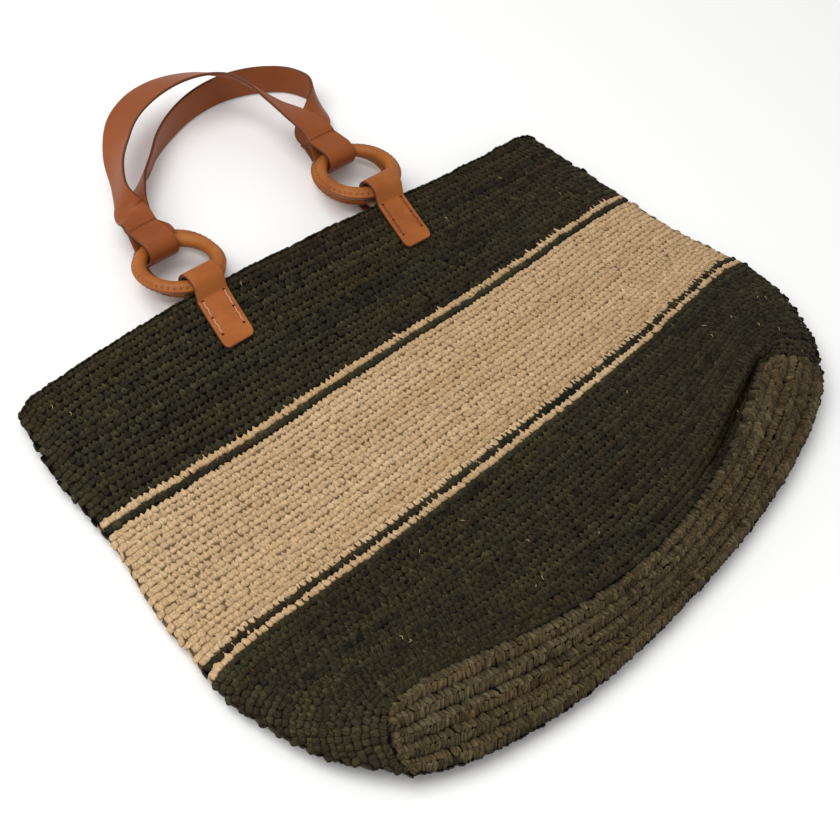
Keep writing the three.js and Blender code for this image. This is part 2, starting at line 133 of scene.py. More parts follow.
# Stitches: bead, spike and the split along the bead, as shares of a stitch's length or half width
STITCH_COLUMNS = {"front": 6, "back": 4}
BEAD_ROWS = 8
SPIKE_BEAD_ROWS = 6
BEAD_SHARE = 0.53
BEAD_SQUARENESS = 3.6
SPIKE_ROOT = 0.02
SPIKE_BEND = 0.82
SPIKE_WIDTH = 0.52
SPIKE_TAPER = 1.25
SPIKE_END = 1.001
LEAST_WIDTH = 0.02
SPLIT_DEPTH = 0.45
SPLIT_AT = 0.31
SPLIT_WIDTH = 0.2

# Lay of the crochet: where spikes stop across the bag, painted shade at the grooves, the rim's chain, the skin
# under the stitches
PLAIN_BEAD_LENGTH = 6.6
SPIKES_TO = 0.8
GROOVE_SHADE = 0.6
PATTERN_REACH = 400.0
ROUND_SHIFT = 0.54
RIM_CHAIN_TO = 0.96
RIM_STITCHES = 210
RIM_STITCH_SIZE = (5.4, 8.0, 2.2)
RIM_STITCH_DEPTH = 0.6
RIM_TONE = 0.55
RIM_TONE_SPREAD = 0.2
BACKING_OUT = 0.35
# Tone, warmth and painted lit share of the two skins: the outer skin, seen only through the gaps between
# stitches, is painted dark as their shade; the inner skin gets part of that painted shade on the dark raffia
GAP_SHADE_SKIN_FACTS = (0.2, 0.5, 0.0)
INNER_SKIN_FACTS = (0.45, 0.5, 0.6)
WALL_BACKING_STEPS = 41
BASE_BACKING_STEPS = 121

# How far looseness turns, sizes and moves a stitch
LOOSE_TURN = 0.9
LOOSE_SIZE = 0.6
LOOSE_PLACE = 2.0

# Tones of the raffia and the stretch of its fibres along a stitch
MIDDLE_TONE = 0.5
TONE_SPREAD = 0.3
FIBRE_STRETCH = (0.85, 0.24, 1)
WARM_TINT = 0.45

# Loose fibres
FIBRE_LENGTHS = (2.0, 5.0)
FIBRE_RADIUS = 0.2
FIBRE_INSET = 6.0
FIBRE_TURNS = (0.15, 1.85)
FIBRE_LIFT = 0.5
FIBRE_ARCH = 5.0
FIBRE_CURL = 4.0
FIBRE_STEPS = 9

# Small steps for directions on the surface, and samples for lengths along it
TURN_STEP = 0.01
WALL_STEP = 0.5
BASE_STEP = 0.002
ROUND_SAMPLES = 1201
ROW_SAMPLES = 61
SHARE_SAMPLES = 101
END_SAMPLES = 201
LEAST_LENGTH = 1e-9
LEAST_STEP = 1e-4

# How the soft bag lies out of true: rounds that lie up, sides that lie out, and the dent beside the base
LIE_ACROSS = (-1, -0.94, -0.75, -0.5, -0.25, 0, 0.25, 0.5, 0.75, 0.87, 0.95, 1)
LIE_ROUNDS = (0, 22, 42, 68)
LIE_UP = (
    (-3, 3, 4.5, 4.5, 1.5, -1.5, -3, -4.5, -1, 2, 4, 1),
    (-1.5, -2, -3.5, -4, -1.5, -1, -1.5, 0.5, 4, 5.5, 6.5, 7),
    (2, 1, 0, -1.5, -2, -1.5, -2.5, -2.5, 0.5, 3, 5, 5.5),
    (0, 0, 0, 0, 0, 0, 0, 0, -1, -9, -19, -9),
)
LIE_DEPTHS = (0, 0.15, 0.35, 0.55, 0.75, 0.9, 1)
LIE_LEFT = (1, 2, -4.5, 0, 4.5, 6, 2)
LIE_RIGHT = (5, 4.5, 3.5, 3, 1, -1, -9)
DENT_DEPTH = 11.0
DENT_TURNS = (0.25, 0.45, 0.65, 1.0)
DENT_SHARES = (0, 1, 1, 0)
DENT_ABOVE_SEAM = 9.0
DENT_REACH = 26.0
BASE_LEFT_CORNER = -0.93
BASE_RIGHT_CORNER = 0.81
KEEL_BOW = 47.0
KEEL_BOW_CURVE = 0.7
KEEL_LEFT_FULLNESS = 9.0

# Leather, how it seats, and the thread and holes of its seams
LEATHER_THICKNESS = 2.4
HALF_LEATHER = LEATHER_THICKNESS / 2
SEAT_GAP = 0.3
EDGE_ROUNDNESS = 3
RUBBED_FROM = 0.5
RUBBED_TO = 0.995
JOIN_SHARES = (0.2, 0.4, 0.6, 0.8)
CLOSE_SHARES = (0.25, 0.5, 0.75, 1)
THREAD_SIDES = 8
THREAD_TIP = 0.02
THREAD_POINT = 12
THREAD_STEEP = 0.9
HOLE_STEPS = 13
HOLE_REACHES = (0.0, 0.7, 1.0)
HOLE_LIFT = 0.12
HOLE_DISH = 0.1
HOLE_ASKEW = (0.3, 0.9, 0.1)

# Tabs and their long stitches
TAB_WIDTH = 27.0
TAB_SPACING = 175.0
TAB_LEG_LENGTH = 48.0
TAB_LEAN_DEG = 9.5
TAB_CORNER = 4.0
TAB_END_LENGTH = 7.0
TAB_END_SHARE = 0.66
TAB_BEND = 5.0
TAB_END_STEPS = (0, 0.15, 0.4, 0.8, 1.4, 2.2, 3.2)
TAB_LEG_STEPS = 18
TAB_LOOP_STEPS = 40
TAB_STITCH_SPREAD = 19.0
TAB_STITCH_INSET = 0.8
TAB_HOLES_BELOW_RIM = (6.0, 21.0, 36.0)
TAB_HOLE_RADIUS = 1.3
TAB_THREAD_LIFT = 0.25
TAB_THREAD_WAVER = 0.35
TAB_THREAD_WAVES = 14
TAB_THREAD_STEPS = 25

# Straps and the seams of their tails
STRAP_WIDTH = 26.0
STRAP_TAIL = 24.0
STRAP_TAIL_FREE = 6.0
STRAP_CLOSING = STRAP_TAIL - STRAP_TAIL_FREE
STRAP_LAYER = HALF_LEATHER + SEAT_GAP / 2
STRAP_STRAIGHT = 3.0
STRAP_TAIL_STEPS = 14
STRAP_LOOP_STEPS = 44
STRAP_ARCH_STEPS = 240
STRAP_ROLL_EASE = 19
STRAP_SEAM_STITCHES = 8
STRAP_SEAM_REACH = 0.42
STRAP_SEAM_FREE = 1.5
STRAP_STITCH_LENGTH = 2.3
STRAP_STITCH_STEPS = 13
STRAP_THREAD_SHARE = 0.45
STRAP_THREAD_LIFT = 0.15

# Rings, their covers sewn along a lip, and how finely the solids step round them
RING_TUBE_RADIUS = 5.0
RING_MEAN_RADIUS = 28.5
RING_LIP = 1.0
RING_LIP_THICKNESS = 2.4
RING_LIP_OVER = 0.1
RING_LIP_ANGLE = 0.26
RING_SEAM_ANGLE = 0.07
RING_SEAM_SHADE = 0.85
RING_CORE_RADIUS = 3.5
RING_CORE_SKIP = 4
RING_STEPS = 241
RING_SECTION_STEPS = 49
RING_TICKS = 46
RING_TICK_ANGLES = (0.32, 0.78)
RING_TICK_STEPS = 7
RING_TICK_LIFT = 0.08
RING_THREAD_SHARE = 0.3
PUCKER_DEPTH = 0.12
PUCKER_ANGLE = 0.55
PUCKER_WIDTH = 0.3
CAD_RING_STEPS = 24
CAD_FOLD_STEPS = 14
CAD_LOOP_SWEEP = 4 * math.pi / 3
RING_OUTER_RADIUS = RING_MEAN_RADIUS + RING_TUBE_RADIUS + RING_LIP
RING_INNER_RADIUS = (RING_MEAN_RADIUS - RING_TUBE_RADIUS) * math.cos(math.pi / CAD_RING_STEPS)
RING_HOLE_AT_TAB = math.sqrt(RING_INNER_RADIUS ** 2 - (TAB_WIDTH / 2) ** 2)
RING_PIVOT_RADIUS = (RING_OUTER_RADIUS + RING_HOLE_AT_TAB) / 2
RING_REACH = (RING_OUTER_RADIUS - RING_HOLE_AT_TAB) / 2
FRONT_PIVOT_HEIGHT = 36.8
BACK_SET_OUT = 15.5

# Strap routes: share of the tab spacing, way beyond the rings, height over rest, share of a quarter turn
FRONT_ROUTE = [
    (-0.5, 33, -2.5, 0.4), (-0.485, 46, 0, 0.84), (-0.425, 66, 3, 0.82), (-0.335, 89, 3, 0.5),
    (-0.2, 113, 3, 0.22), (-0.06, 125.5, 3, 0.18), (0.07, 130, 3, 0.24), (0.18, 129, 3, 0.33),
    (0.27, 124.5, 3, 0.4), (0.345, 116.5, 3, 0.47), (0.4, 104, 3.5, 0.53), (0.43, 85, 4, 0.52),
    (0.448, 64, 4, 0.4), (0.47, 47, 3.5, 0.22),
]
BACK_ROUTE = [
    (-0.46, 40, 0.6, 0.4), (-0.36, 55, 0.9, 0.8), (-0.25, 68, 1, 0.95), (-0.145, 83, 1, 1),
    (-0.01, 96, 1, 1.08), (0.15, 106, 1, 1.1), (0.31, 109.5, 1, 1.1), (0.45, 106.5, 1, 1.08),
    (0.565, 99, 1, 1.05), (0.655, 88, 1, 1), (0.7, 72.5, 1, 0.95), (0.685, 58, 1, 0.75),
    (0.62, 43, 0.8, 0.35),
]

# Regions of the bake map: left, bottom, right and top, and the margin of a cell
WHOLE_MAP = (0, 0, 1, 1)
LEFT_MAP = (0, 0, 0.5, 1)
RIGHT_MAP = (0.5, 0, 1, 1)
LOWER_MAP = (0, 0, 1, 0.5)
UPPER_MAP = (0, 0.5, 1, 1)
PLAIN_STITCH_MAP = (0, 0, 1, 0.2)
SPIKE_STITCH_MAP = (0, 0.2, 1, 0.9)
BASE_ROWS_TOP = 0.8
BASE_END_MAP = (0, BASE_ROWS_TOP, 1, 0.9)
OUTER_SKIN_MAP = (0, 0.9, 1, 0.95)
INNER_SKIN_MAP = (0, 0.95, 1, 1)
CELL_MARGIN = 0.06

# Camera, lamp and floor, in metres
CAMERA_PLACE = (-0.653, -0.455, 0.927)
CAMERA_LOOK = (0.5189, 0.3883, -0.7616)
CAMERA_RIGHT = (0.7238, -0.6735, 0.1497)
CAMERA_LENS = 72.62
CAMERA_SENSOR = 36.0
CAMERA_REACH = 20
LAMP_PLACE = (-0.9, 0.35, 1.7)
LAMP_AIM = (0, -0.02, 0)
LAMP_SIZE = 1.6
FLOOR_HALF = 4


def linear(colour):
    """Linear red, green and blue of an sRGB hex colour."""
    shares = [int(colour[i:i + 2], 16) / 255 for i in (1, 3, 5)]
    return tuple(s / 12.92 if s <= 0.04045 else ((s + 0.055) / 1.055) ** 2.4 for s in shares)


def colour_property(name, description, default):
    return bpy.props.FloatVectorProperty(
        name=name, description=description, default=linear(default), size=3, subtype="COLOR", min=0, max=1
    )


def length_property(name, description, millimetres):
    return bpy.props.FloatProperty(
        name=name, description=description, default=millimetres * MM, unit="LENGTH", min=0
    )


class RaffiaSettings(bpy.types.PropertyGroup):
    pitch: length_property("Stitch pitch", "Space that a stitch has along its round", 4.8)
    length: length_property("Stitch length", "From a stitch's fat foot to the tip of its spike", 9.9)
    overlap: bpy.props.FloatProperty(
        name="Stitch overlap", default=1.38,
        description="Width of a stitch as a share of its space in the round"
    )
    rise: length_property("Stitch rise", "How far a stitch stands out of the fabric", 2.1)
    natural_rise: length_property("Band stitch rise", "How far a stitch of the natural band stands out", 1.35)
    base_length: length_property("Base stitch length", "Length of the slanted stitches of the base", 6.6)
    base_width: length_property("Base stitch width", "Width of the slanted stitches of the base", 4.3)
    base_slant: bpy.props.FloatProperty(
        name="Base slant", description="Lean of the base's stitches, to alternate sides",
        default=math.radians(24), subtype="ANGLE"
    )
    fibres: bpy.props.IntProperty(
        name="Loose fibres", description="Short pale fibres standing out of the front", default=36, min=1
    )
    dark_deep: colour_property("Dark raffia, deep", "Deepest tone of the dyed strands", "#151207")
    dark_light: colour_property("Dark raffia, light", "Lightest tone of the dyed strands", "#454026")
    dark_warm: colour_property("Dark raffia, brown", "Brown where the dye took less", "#3a2810")
    base_deep: colour_property("Base raffia, deep", "Deepest tone of the base's strands", "#2d2413")
    base_light: colour_property("Base raffia, light", "Lightest tone of the base's strands", "#695b3f")
    base_warm: colour_property("Base raffia, brown", "Brown of the base's strands", "#523c20")
    natural_deep: colour_property("Natural raffia, deep", "Deepest tone of the undyed strands", "#a98a64")
    natural_light: colour_property("Natural raffia, light", "Lightest tone of the undyed strands", "#cfb28b")
    natural_warm: colour_property("Natural raffia, straw", "Straw tone of the undyed strands", "#b78f62")


class LeatherSettings(bpy.types.PropertyGroup):
    tan: colour_property("Leather", "Tanned grain side", "#a15b24")
    strap: colour_property("Strap leather", "Both faces of the straps, darker from handling", "#8d491d")
    shade: colour_property("Leather mottle", "Darker clouds of the grain side", "#804018")
    flesh: colour_property("Flesh side", "Suede side of the strips", "#94755c")
    edge: colour_property("Edges", "Burnished cut edges", "#5a2f18")
    ring: colour_property("Ring leather", "Thin leather sewn round the rings", "#a56125")
    thread: colour_property("Thread", "Waxed thread of the seams", "#6b3a20")
    pale_thread: colour_property("Pale thread", "Thread of the left tabs", "#b98a74")
    hole: colour_property("Punched holes", "Shade within the punched holes", "#2a0f07")
    wood: colour_property("Ring core", "Turned wood within the rings", "#b58a58")
    thread_width: length_property("Thread width", "Thickness of the sewing thread", 1.0)


class StageSettings(bpy.types.PropertyGroup):
    floor: colour_property("Floor", "Pale studio floor", "#fbfbfa")
    key: bpy.props.FloatProperty(
        name="Key lamp", description="Power of the soft lamp", default=26, unit="POWER"
    )
    sky: bpy.props.FloatProperty(name="Surrounding light", description="Brightness all round", default=0.62)


# Bag surface, in millimetres

def mix(a, b, share):
    return a + (b - a) * share


def smooth_step(value, low, high):
    share = np.clip((value - low) / (high - low), 0, 1)
    return share * share * (3 - 2 * share)


def unit(vectors):
    return vectors / np.maximum(np.linalg.norm(vectors, axis=-1, keepdims=True), LEAST_LENGTH)


def distances(points):
    """How far each point of a line is along it."""
    return np.concatenate([[0], np.cumsum(np.linalg.norm(np.diff(points, axis=0), axis=1))])


def eased(value, places, amounts):
    """Amount at a value between places, easing from one to the next."""
    places, amounts = np.asarray(places, float), np.asarray(amounts, float)
    low = np.clip(np.searchsorted(places, value, side="right") - 1, 0, len(places) - 2)
    return mix(amounts[low], amounts[low + 1], smooth_step(value, places[low], places[low + 1]))


def lie_up(depth, across):
    """How far a place on the soft wall lies up from an even lie."""
    rounds = depth / ROUND_HEIGHT
    shares = [np.interp(rounds, LIE_ROUNDS, line) for line in np.eye(len(LIE_ROUNDS))]
    return sum(share * eased(across, LIE_ACROSS, amounts) for share, amounts in zip(shares, LIE_UP))


def half_width(depth):
    """Half width of the flattened bag at a depth below the rim."""
    upper = mix(MOUTH_HALF_WIDTH, BELLY_HALF_WIDTH, depth / BELLY_DEPTH)
    share = np.maximum(0, depth - BELLY_DEPTH) / (WALL_DEPTH - BELLY_DEPTH)
    return np.where(depth < BELLY_DEPTH, upper, mix(BELLY_HALF_WIDTH, BASE_TIP_HALF_WIDTH, share ** 2))


def side_fold(across):
    return np.sqrt(np.maximum(0, 1 - across ** SIDE_FOLD_SHARPNESS))


def base_share(depth):
    return np.maximum(0, (depth / WALL_DEPTH - 1 + BASE_REACH) / BASE_REACH) ** BASE_REACH_CURVE


def wall_height(depth, across, is_front):
    """Height of the wall's middle surface over a place across the bag, -1 to 1."""
    mouth = np.maximum(0, 1 - depth / MOUTH_REACH) ** 2
    base = base_share(depth)
    side = SIDE_FOLD_HEIGHT + MOUTH_SIDE_RISE * mouth + BASE_LIFT * base
    fold = np.minimum(1, SIDE_FOLD_FLAT * side_fold(across))
    rise = SIDE_FOLD_RISE - MOUTH_SIDE_RISE * mouth + BASE_FOLD_RISE * base
    crown = np.maximum(0, 1 - across ** 2) ** PANEL_CROWN_CURVE
    front = side + rise * fold + (BELLY_LIFT + MOUTH_LIFT * mouth) * crown
    tab_lift = 1 - smooth_step(depth, TAB_LEG_LENGTH + TAB_CORNER, 2.5 * TAB_LEG_LENGTH)
    rest = HALF_WALL + (LEATHER_THICKNESS + SEAT_GAP) * tab_lift
    return np.where(is_front, front, side - (side - rest) * fold)


def wall_point(depth, turn):
    """Middle surface of the wall: turn 0 to 2 crosses the front from right to left, 2 to 4 the back."""
    depth, turn = np.broadcast_arrays(np.asarray(depth, float), np.asarray(turn, float))
    is_front = turn <= 2
    along = np.where(is_front, 1 - turn, turn - 3)
    across = np.sin(along * math.pi / 2)
    shift = LIE_SHIFT * smooth_step(depth / WALL_DEPTH, LIE_SHIFT_FROM, LIE_SHIFT_TO)
    right = eased(depth / WALL_DEPTH, LIE_DEPTHS, LIE_RIGHT) * np.maximum(0, across) ** 4
    left = eased(depth / WALL_DEPTH, LIE_DEPTHS, LIE_LEFT) * np.minimum(0, across) ** 4
    x = half_width(depth) * across + shift
    bow = base_share(depth) * (BASE_EDGE_BOW * across ** 2 - BASE_TIP_DROP * (1 - side_fold(across)))
    fan = LEFT_FAN * np.sin(math.pi * np.minimum(1, depth / BELLY_DEPTH)) * np.minimum(0, across) ** 2
    y = RIM_Y - depth + LIE_LEAN * depth / WALL_DEPTH * x + bow + fan + lie_up(depth, across)
    above = WALL_DEPTH - depth
    dent = smooth_step(above, 0, DENT_ABOVE_SEAM) * (1 - smooth_step(above, DENT_ABOVE_SEAM, DENT_REACH))
    dent = dent * eased(turn, DENT_TURNS, DENT_SHARES)
    z = wall_height(depth, across, is_front) - DENT_DEPTH * dent
    return np.stack([x + right - left, y, z], axis=-1)


def base_edge(across, is_front):
    """A point on the seam of the base, on the front or the back of the bag."""
    angle = np.arcsin(np.clip(across, -1, 1)) * 2 / math.pi
    return wall_point(np.full_like(angle, WALL_DEPTH), np.where(is_front, 1 - angle, 3 + angle))


def keel(along):
    """The fold along the middle of the base, from its left end (0) to its right end (1)."""
    ends = base_edge(np.array([-1.0, 1.0]), True)
    place = 2 * along - 1
    full = np.maximum(0, 1 - place ** 2)
    line = mix(ends[0], ends[1], along[..., None])
    bow = KEEL_BOW * full ** KEEL_BOW_CURVE + KEEL_LEFT_FULLNESS * full * np.maximum(0, -place)
    height = mix(line[..., 2], KEEL_HEIGHT, np.sqrt(full))
    return np.stack([line[..., 0], line[..., 1] - bow, height], axis=-1)


def base_patch(share, along, is_front):
    """A panel of straight rows between the long seam, the fold and the two short ends."""
    corners = (np.full_like(share, BASE_LEFT_CORNER), np.full_like(share, BASE_RIGHT_CORNER))
    ends = (np.full_like(share, -1), np.full_like(share, 1))
    seam = base_edge(mix(corners[0], corners[1], along), is_front)
    left = base_edge(mix(corners[0], ends[0], share), is_front)
    right = base_edge(mix(corners[1], ends[1], share), is_front)
    v, u = share[..., None], along[..., None]
    near = mix(base_edge(corners[0], is_front), base_edge(corners[1], is_front), u)
    far = mix(base_edge(ends[0], is_front), base_edge(ends[1], is_front), u)
    return mix(seam, keel(along), v) + mix(left, right, u) - mix(near, far, v)


def base_point(share, turn):
    """Middle surface of the base: share 0 at the long seam, 1 on the fold along its middle."""
    share, turn = np.broadcast_arrays(np.asarray(share, float), np.asarray(turn, float))
    is_front = turn <= 2
    along = np.where(is_front, 1 - turn / 2, turn / 2 - 1)
    quarter = share * math.pi / 2
    level = base_patch(mix(share, np.sin(quarter), BASE_ROUNDNESS), along, is_front)
    height = base_patch(mix(share, 1 - np.cos(quarter), BASE_ROUNDNESS), along, is_front)
    return np.concatenate([level[..., :2], height[..., 2:]], axis=-1)


def surface_frame(point, down, turn, step):
    """Place, direction along the round, direction to the rim and outward normal."""
    along = unit(point(down, (turn + TURN_STEP) % 4) - point(down, (turn - TURN_STEP) % 4))
    lower = point(down + step, turn) - point(down - step, turn)
    outward = unit(np.cross(along, lower))
    return point(down, turn), along, np.cross(along, outward), outward


def round_lengths(point, down, stretch):
    """Turns along a stretch of a round, and how far each is from its start."""
    turns = np.linspace(*stretch, ROUND_SAMPLES)
    return turns, distances(point(np.full_like(turns, down), turns))


def even_turns(point, down, count, start, stretch):
    """Turns of evenly spaced stitches along a stretch of a round, and the space each has."""
    turns, lengths = round_lengths(point, down, stretch)
    wanted = (np.arange(count) + start) / count % 1 * lengths[-1]
    return np.interp(wanted, lengths, turns), lengths[-1] / count


def row_lines(stretch, parts):
    """Turns along the base, and the shares at them of lines that part it evenly from seam to fold."""
    turns = np.linspace(*stretch, ROW_SAMPLES)
    shares = np.linspace(0, 1, SHARE_SAMPLES)
    steps = np.linalg.norm(np.diff(base_point(shares[:, None], turns[None]), axis=0), axis=-1)
    reach = np.concatenate([np.zeros((1, len(turns))), np.cumsum(steps, axis=0)])
    lines = [np.interp(np.linspace(0, way[-1], parts + 1), way, shares) for way in reach.T]
    return turns, np.stack(lines, axis=1)


# Meshes from grids of points

class Patchwork:
    """Grids of points joined into one mesh, each grid with its own cell of the bake map."""

    def __init__(self):
        self.points, self.quads, self.bake, self.pattern, self.facts = [], [], [], [], []
        self.materials = []
        self.count = 0

    def add(self, points, pattern, facts, region, flip=False, material=0):
        """points (grids, rows, columns, 3), pattern in mm (.., 2), facts (.., 3), region of the bake map."""
        grids, rows, columns = points.shape[:3]
        cells = math.ceil(math.sqrt(grids))
        order = np.arange(grids)
        cell = np.stack([order % cells, order // cells], axis=-1) / cells
        share = np.stack(np.meshgrid(np.linspace(0, 1, columns), np.linspace(0, 1, rows)), axis=-1)
        inside = CELL_MARGIN + (1 - 2 * CELL_MARGIN) * share[None]
        place = cell[:, None, None] + inside / cells
        low, high = np.array(region[:2]), np.array(region[2:])
        slot = np.arange(rows * columns).reshape(rows, columns)
        corners = [slot[:-1, :-1], slot[1:, :-1], slot[1:, 1:], slot[:-1, 1:]]
        face = np.stack(corners[::-1] if flip else corners, axis=-1).reshape(-1, 4)
        offsets = self.count + order[:, None, None] * rows * columns
        self.quads.append((face[None] + offsets).reshape(-1, 4))
        self.materials.append(np.full(grids * len(face), material))
        self.points.append(points.reshape(-1, 3))
        self.bake.append((low + place * (high - low)).reshape(-1, 2))
        self.pattern.append(np.broadcast_to(pattern, points.shape[:3] + (2,)).reshape(-1, 2))
        self.facts.append(np.broadcast_to(facts, points.shape[:3] + (3,)).reshape(-1, 3))
        self.count += grids * rows * columns

    def build(self, name, materials, body, slot, nodes=()):
        """Makes the mesh, hangs it on its body and hides the solids that it stands for."""
        points, quads = np.concatenate(self.points), np.concatenate(self.quads)
        mesh = bpy.data.meshes.new(name)
        mesh.vertices.add(len(points))
        mesh.vertices.foreach_set("co", (points * MM).ravel())
        mesh.loops.add(quads.size)
        mesh.loops.foreach_set("vertex_index", quads.ravel())
        mesh.polygons.add(len(quads))
        mesh.polygons.foreach_set("loop_start", np.arange(0, quads.size, 4))
        mesh.polygons.foreach_set("use_smooth", np.ones(len(quads), bool))
        mesh.polygons.foreach_set("material_index", np.concatenate(self.materials))
        mesh.update(calc_edges=True)
        corners = quads.ravel()
        for layer, values in (("OFBake", self.bake), ("pattern", self.pattern)):
            uv = mesh.uv_layers.new(name=layer)
            uv.data.foreach_set("uv", np.concatenate(values)[corners].ravel())
        facts = np.concatenate(self.facts)
        for i, layer in enumerate(("tone", "warmth", "crest")):
            mesh.attributes.new(layer, "FLOAT", "POINT").data.foreach_set("value", facts[:, i].copy())
        for material in materials:
            mesh.materials.append(material)
        piece = bpy.data.objects.new(name, mesh)
        bpy.context.scene.collection.objects.link(piece)
        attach(piece, body)
        if nodes:
            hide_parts(*nodes)


def facts_of(tone, warmth, crest):
    return np.stack(np.broadcast_arrays(tone, warmth, crest), axis=-1)


class Lay(NamedTuple):
    """How stitches lie: lean (radians), tilt and level out of the fabric (mm), looseness, and the groove end
    that gets painted shade.
    """
    lean: float
    tilt: float
    level: float
    loose: float
    groove: int


WALL_LAY = Lay(lean=0.12, tilt=0.9, level=0.1, loose=0.17, groove=-1)
RIM_LAY = Lay(lean=0.25, tilt=0.4, level=-0.2, loose=0.12, groove=0)


class Strand(NamedTuple):
    """How a raffia varies from stitch to stitch, the painted shade of its hollows, and the spread of tone
    along its fibres.
    """
    tone_reach: int
    tone_slow: float
    tone_uneven: float
    warm_reach: int
    warm_gain: float
    warm_from: float
    warm_share: float
    hollow_shade: float
    hollow_shade_reach: float
    thin: float
    thick: float


STRANDS = {
    "dark": Strand(
        tone_reach=12, tone_slow=0.6, tone_uneven=0.15,
        warm_reach=26, warm_gain=1.8, warm_from=0.55, warm_share=1.0,
        hollow_shade=0.0, hollow_shade_reach=1.12, thin=0.24, thick=1.84
    ),
    "base": Strand(
        tone_reach=7, tone_slow=0.5, tone_uneven=0.17,
        warm_reach=22, warm_gain=1.5, warm_from=0.3, warm_share=1.0,
        hollow_shade=0.0, hollow_shade_reach=1.12, thin=0.24, thick=1.84
    ),
    "natural": Strand(
        tone_reach=12, tone_slow=0.4, tone_uneven=0.06,
        warm_reach=26, warm_gain=1.8, warm_from=0.55, warm_share=0.6,
        hollow_shade=0.32, hollow_shade_reach=0.6, thin=0.58, thick=1.34
    ),
}


def stitch_shape(columns, spike):
    """One stitch, a flat bead with or without a thin spike: across -1 to 1, along 0 to 1, rise 0 to 1."""
    bead_end = BEAD_SHARE if spike else 1.0
    along = 0.5 - 0.5 * np.cos(np.linspace(0, 1, SPIKE_BEAD_ROWS if spike else BEAD_ROWS) * math.pi)
    if spike:
        along = np.concatenate([along[:-1] * bead_end, [bead_end + SPIKE_ROOT, SPIKE_BEND, 1]])
    across = np.sin(np.linspace(-1, 1, columns) * math.pi / 2)
    along, across = np.meshgrid(along, across, indexing="ij")
    ends = np.abs(2 * np.minimum(along, bead_end) / bead_end - 1)
    bead = np.maximum(0, 1 - ends ** BEAD_SQUARENESS) ** (1 / BEAD_SQUARENESS)
    thread = np.where(spike & (along > bead_end / 2), SPIKE_WIDTH * (SPIKE_TAPER - along), 0.0)
    wide = np.maximum(np.maximum(bead, thread), LEAST_WIDTH)
    dive = 1 - np.maximum(0, (along - bead_end) / (SPIKE_END - bead_end)) ** 2
    crown = np.sqrt(np.maximum(bead, np.where(thread > bead, dive, 0.0)))
    split = SPLIT_DEPTH * np.exp(-((across - SPLIT_AT) / SPLIT_WIDTH) ** 2)
    whole = 1 - split * np.sin(math.pi * np.minimum(1, along / bead_end))
    return across * wide, along, crown * np.sqrt(1 - np.abs(across) ** 4) * whole


def stitches(shape, frames, size, lay, bend, rng):
    """One stitch on every frame, each a little different; bend is the fall of the surface a round above."""
    across_shape, along_shape, rise_shape = shape
    place, along, upward, outward = frames
    count = len(place)
    middle = along_shape[np.argmax(across_shape.max(axis=1)), 0]
    width, length, rise = (np.reshape(value, (-1, 1, 1)) for value in size)
    angle = (lay.lean + rng.normal(0, LOOSE_TURN * lay.loose, count))[:, None]
    side = along * np.cos(angle) + upward * np.sin(angle)
    tip = upward * np.cos(angle) - along * np.sin(angle)
    grow = rng.normal(1, LOOSE_SIZE * lay.loose, (3, count, 1, 1))
    shift = rng.normal(0, LOOSE_PLACE * lay.loose, (2, count, 1, 1))
    a = across_shape * width / 2 * grow[0] + shift[0]
    b = (along_shape - middle) * length * grow[1] + shift[1]
    twist = rng.normal(0, LOOSE_PLACE * lay.loose, (count, 1, 1)) * across_shape
    fall = np.reshape(bend, (-1, 1, 1)) * np.maximum(0, b / ROUND_HEIGHT) ** 2
    c = lay.level + rise * rise_shape * grow[2] + lay.tilt * (middle - along_shape) + twist + fall
    return (
        place[:, None, None]
        + a[..., None] * side[:, None, None]
        + b[..., None] * tip[:, None, None]
        + c[..., None] * outward[:, None, None]
    )


def wandering(count, reach, rng):
    """Slow random change along a strand, about 0 to 1."""
    places = np.arange(0, count + reach, reach)
    values = rng.normal(MIDDLE_TONE, TONE_SPREAD, len(places))
    return np.clip(np.interp(np.arange(count), places, values), 0, 1)


def tones(kind, count, rng):
    """Tone and warmth of the stitches of a round."""
    strand = STRANDS[kind]
    slow = strand.tone_slow * (wandering(count, strand.tone_reach, rng) - MIDDLE_TONE)
    tone = np.clip(MIDDLE_TONE + slow + rng.normal(0, strand.tone_uneven, count), 0, 1)
    warm = strand.warm_gain * wandering(count, strand.warm_reach, rng) - strand.warm_from
    return tone, strand.warm_share * np.clip(warm, 0, 1)


def add_stitches(work, shape, frames, size, lay, bend, rng, tone, warmth, region):
    """Adds a stitch on every frame, with painted shade in its hollows and towards the end that lies in a
    groove (-1 foot, 1 tip).
    """
    points = stitches(shape, frames, size, lay, bend, rng)
    across_shape, along_shape, rise_shape = shape
    flat = np.stack([across_shape * np.mean(size[0]) / 2, along_shape * np.mean(size[1])], axis=-1)
    pattern = flat + rng.uniform(0, PATTERN_REACH, (len(points), 1, 1, 2))
    # Painted shade: the lit share falls with the stitch's rise, so its sides and split are darker, and falls
    # again towards its groove end
    groove = smooth_step(lay.groove * (2 * along_shape - 1), 0, 1)
    crest = np.sqrt(np.clip(rise_shape, 0, 1)) * (1 - GROOVE_SHADE * groove)
    facts = facts_of(tone[:, None, None], warmth[:, None, None], crest)
    work.add(points, pattern, facts, region)


# Materials

def node(tree, kind, inputs=None, **settings):
    """Adds one node with its settings, and links or sets its inputs."""
    made = tree.nodes.new(kind)
    for key, value in settings.items():
        setattr(made, key, value)
    for key, value in (inputs or {}).items():
        if isinstance(value, bpy.types.NodeSocket):
            tree.links.new(value, made.inputs[key])
        else:
            made.inputs[key].default_value = value
    return made


def new_material(name):
    material = bpy.data.materials.get(name)
    if material:
        return material, None
    material = bpy.data.materials.new(name)
    material.use_nodes = True
    material.node_tree.nodes.clear()
    return material, material.node_tree


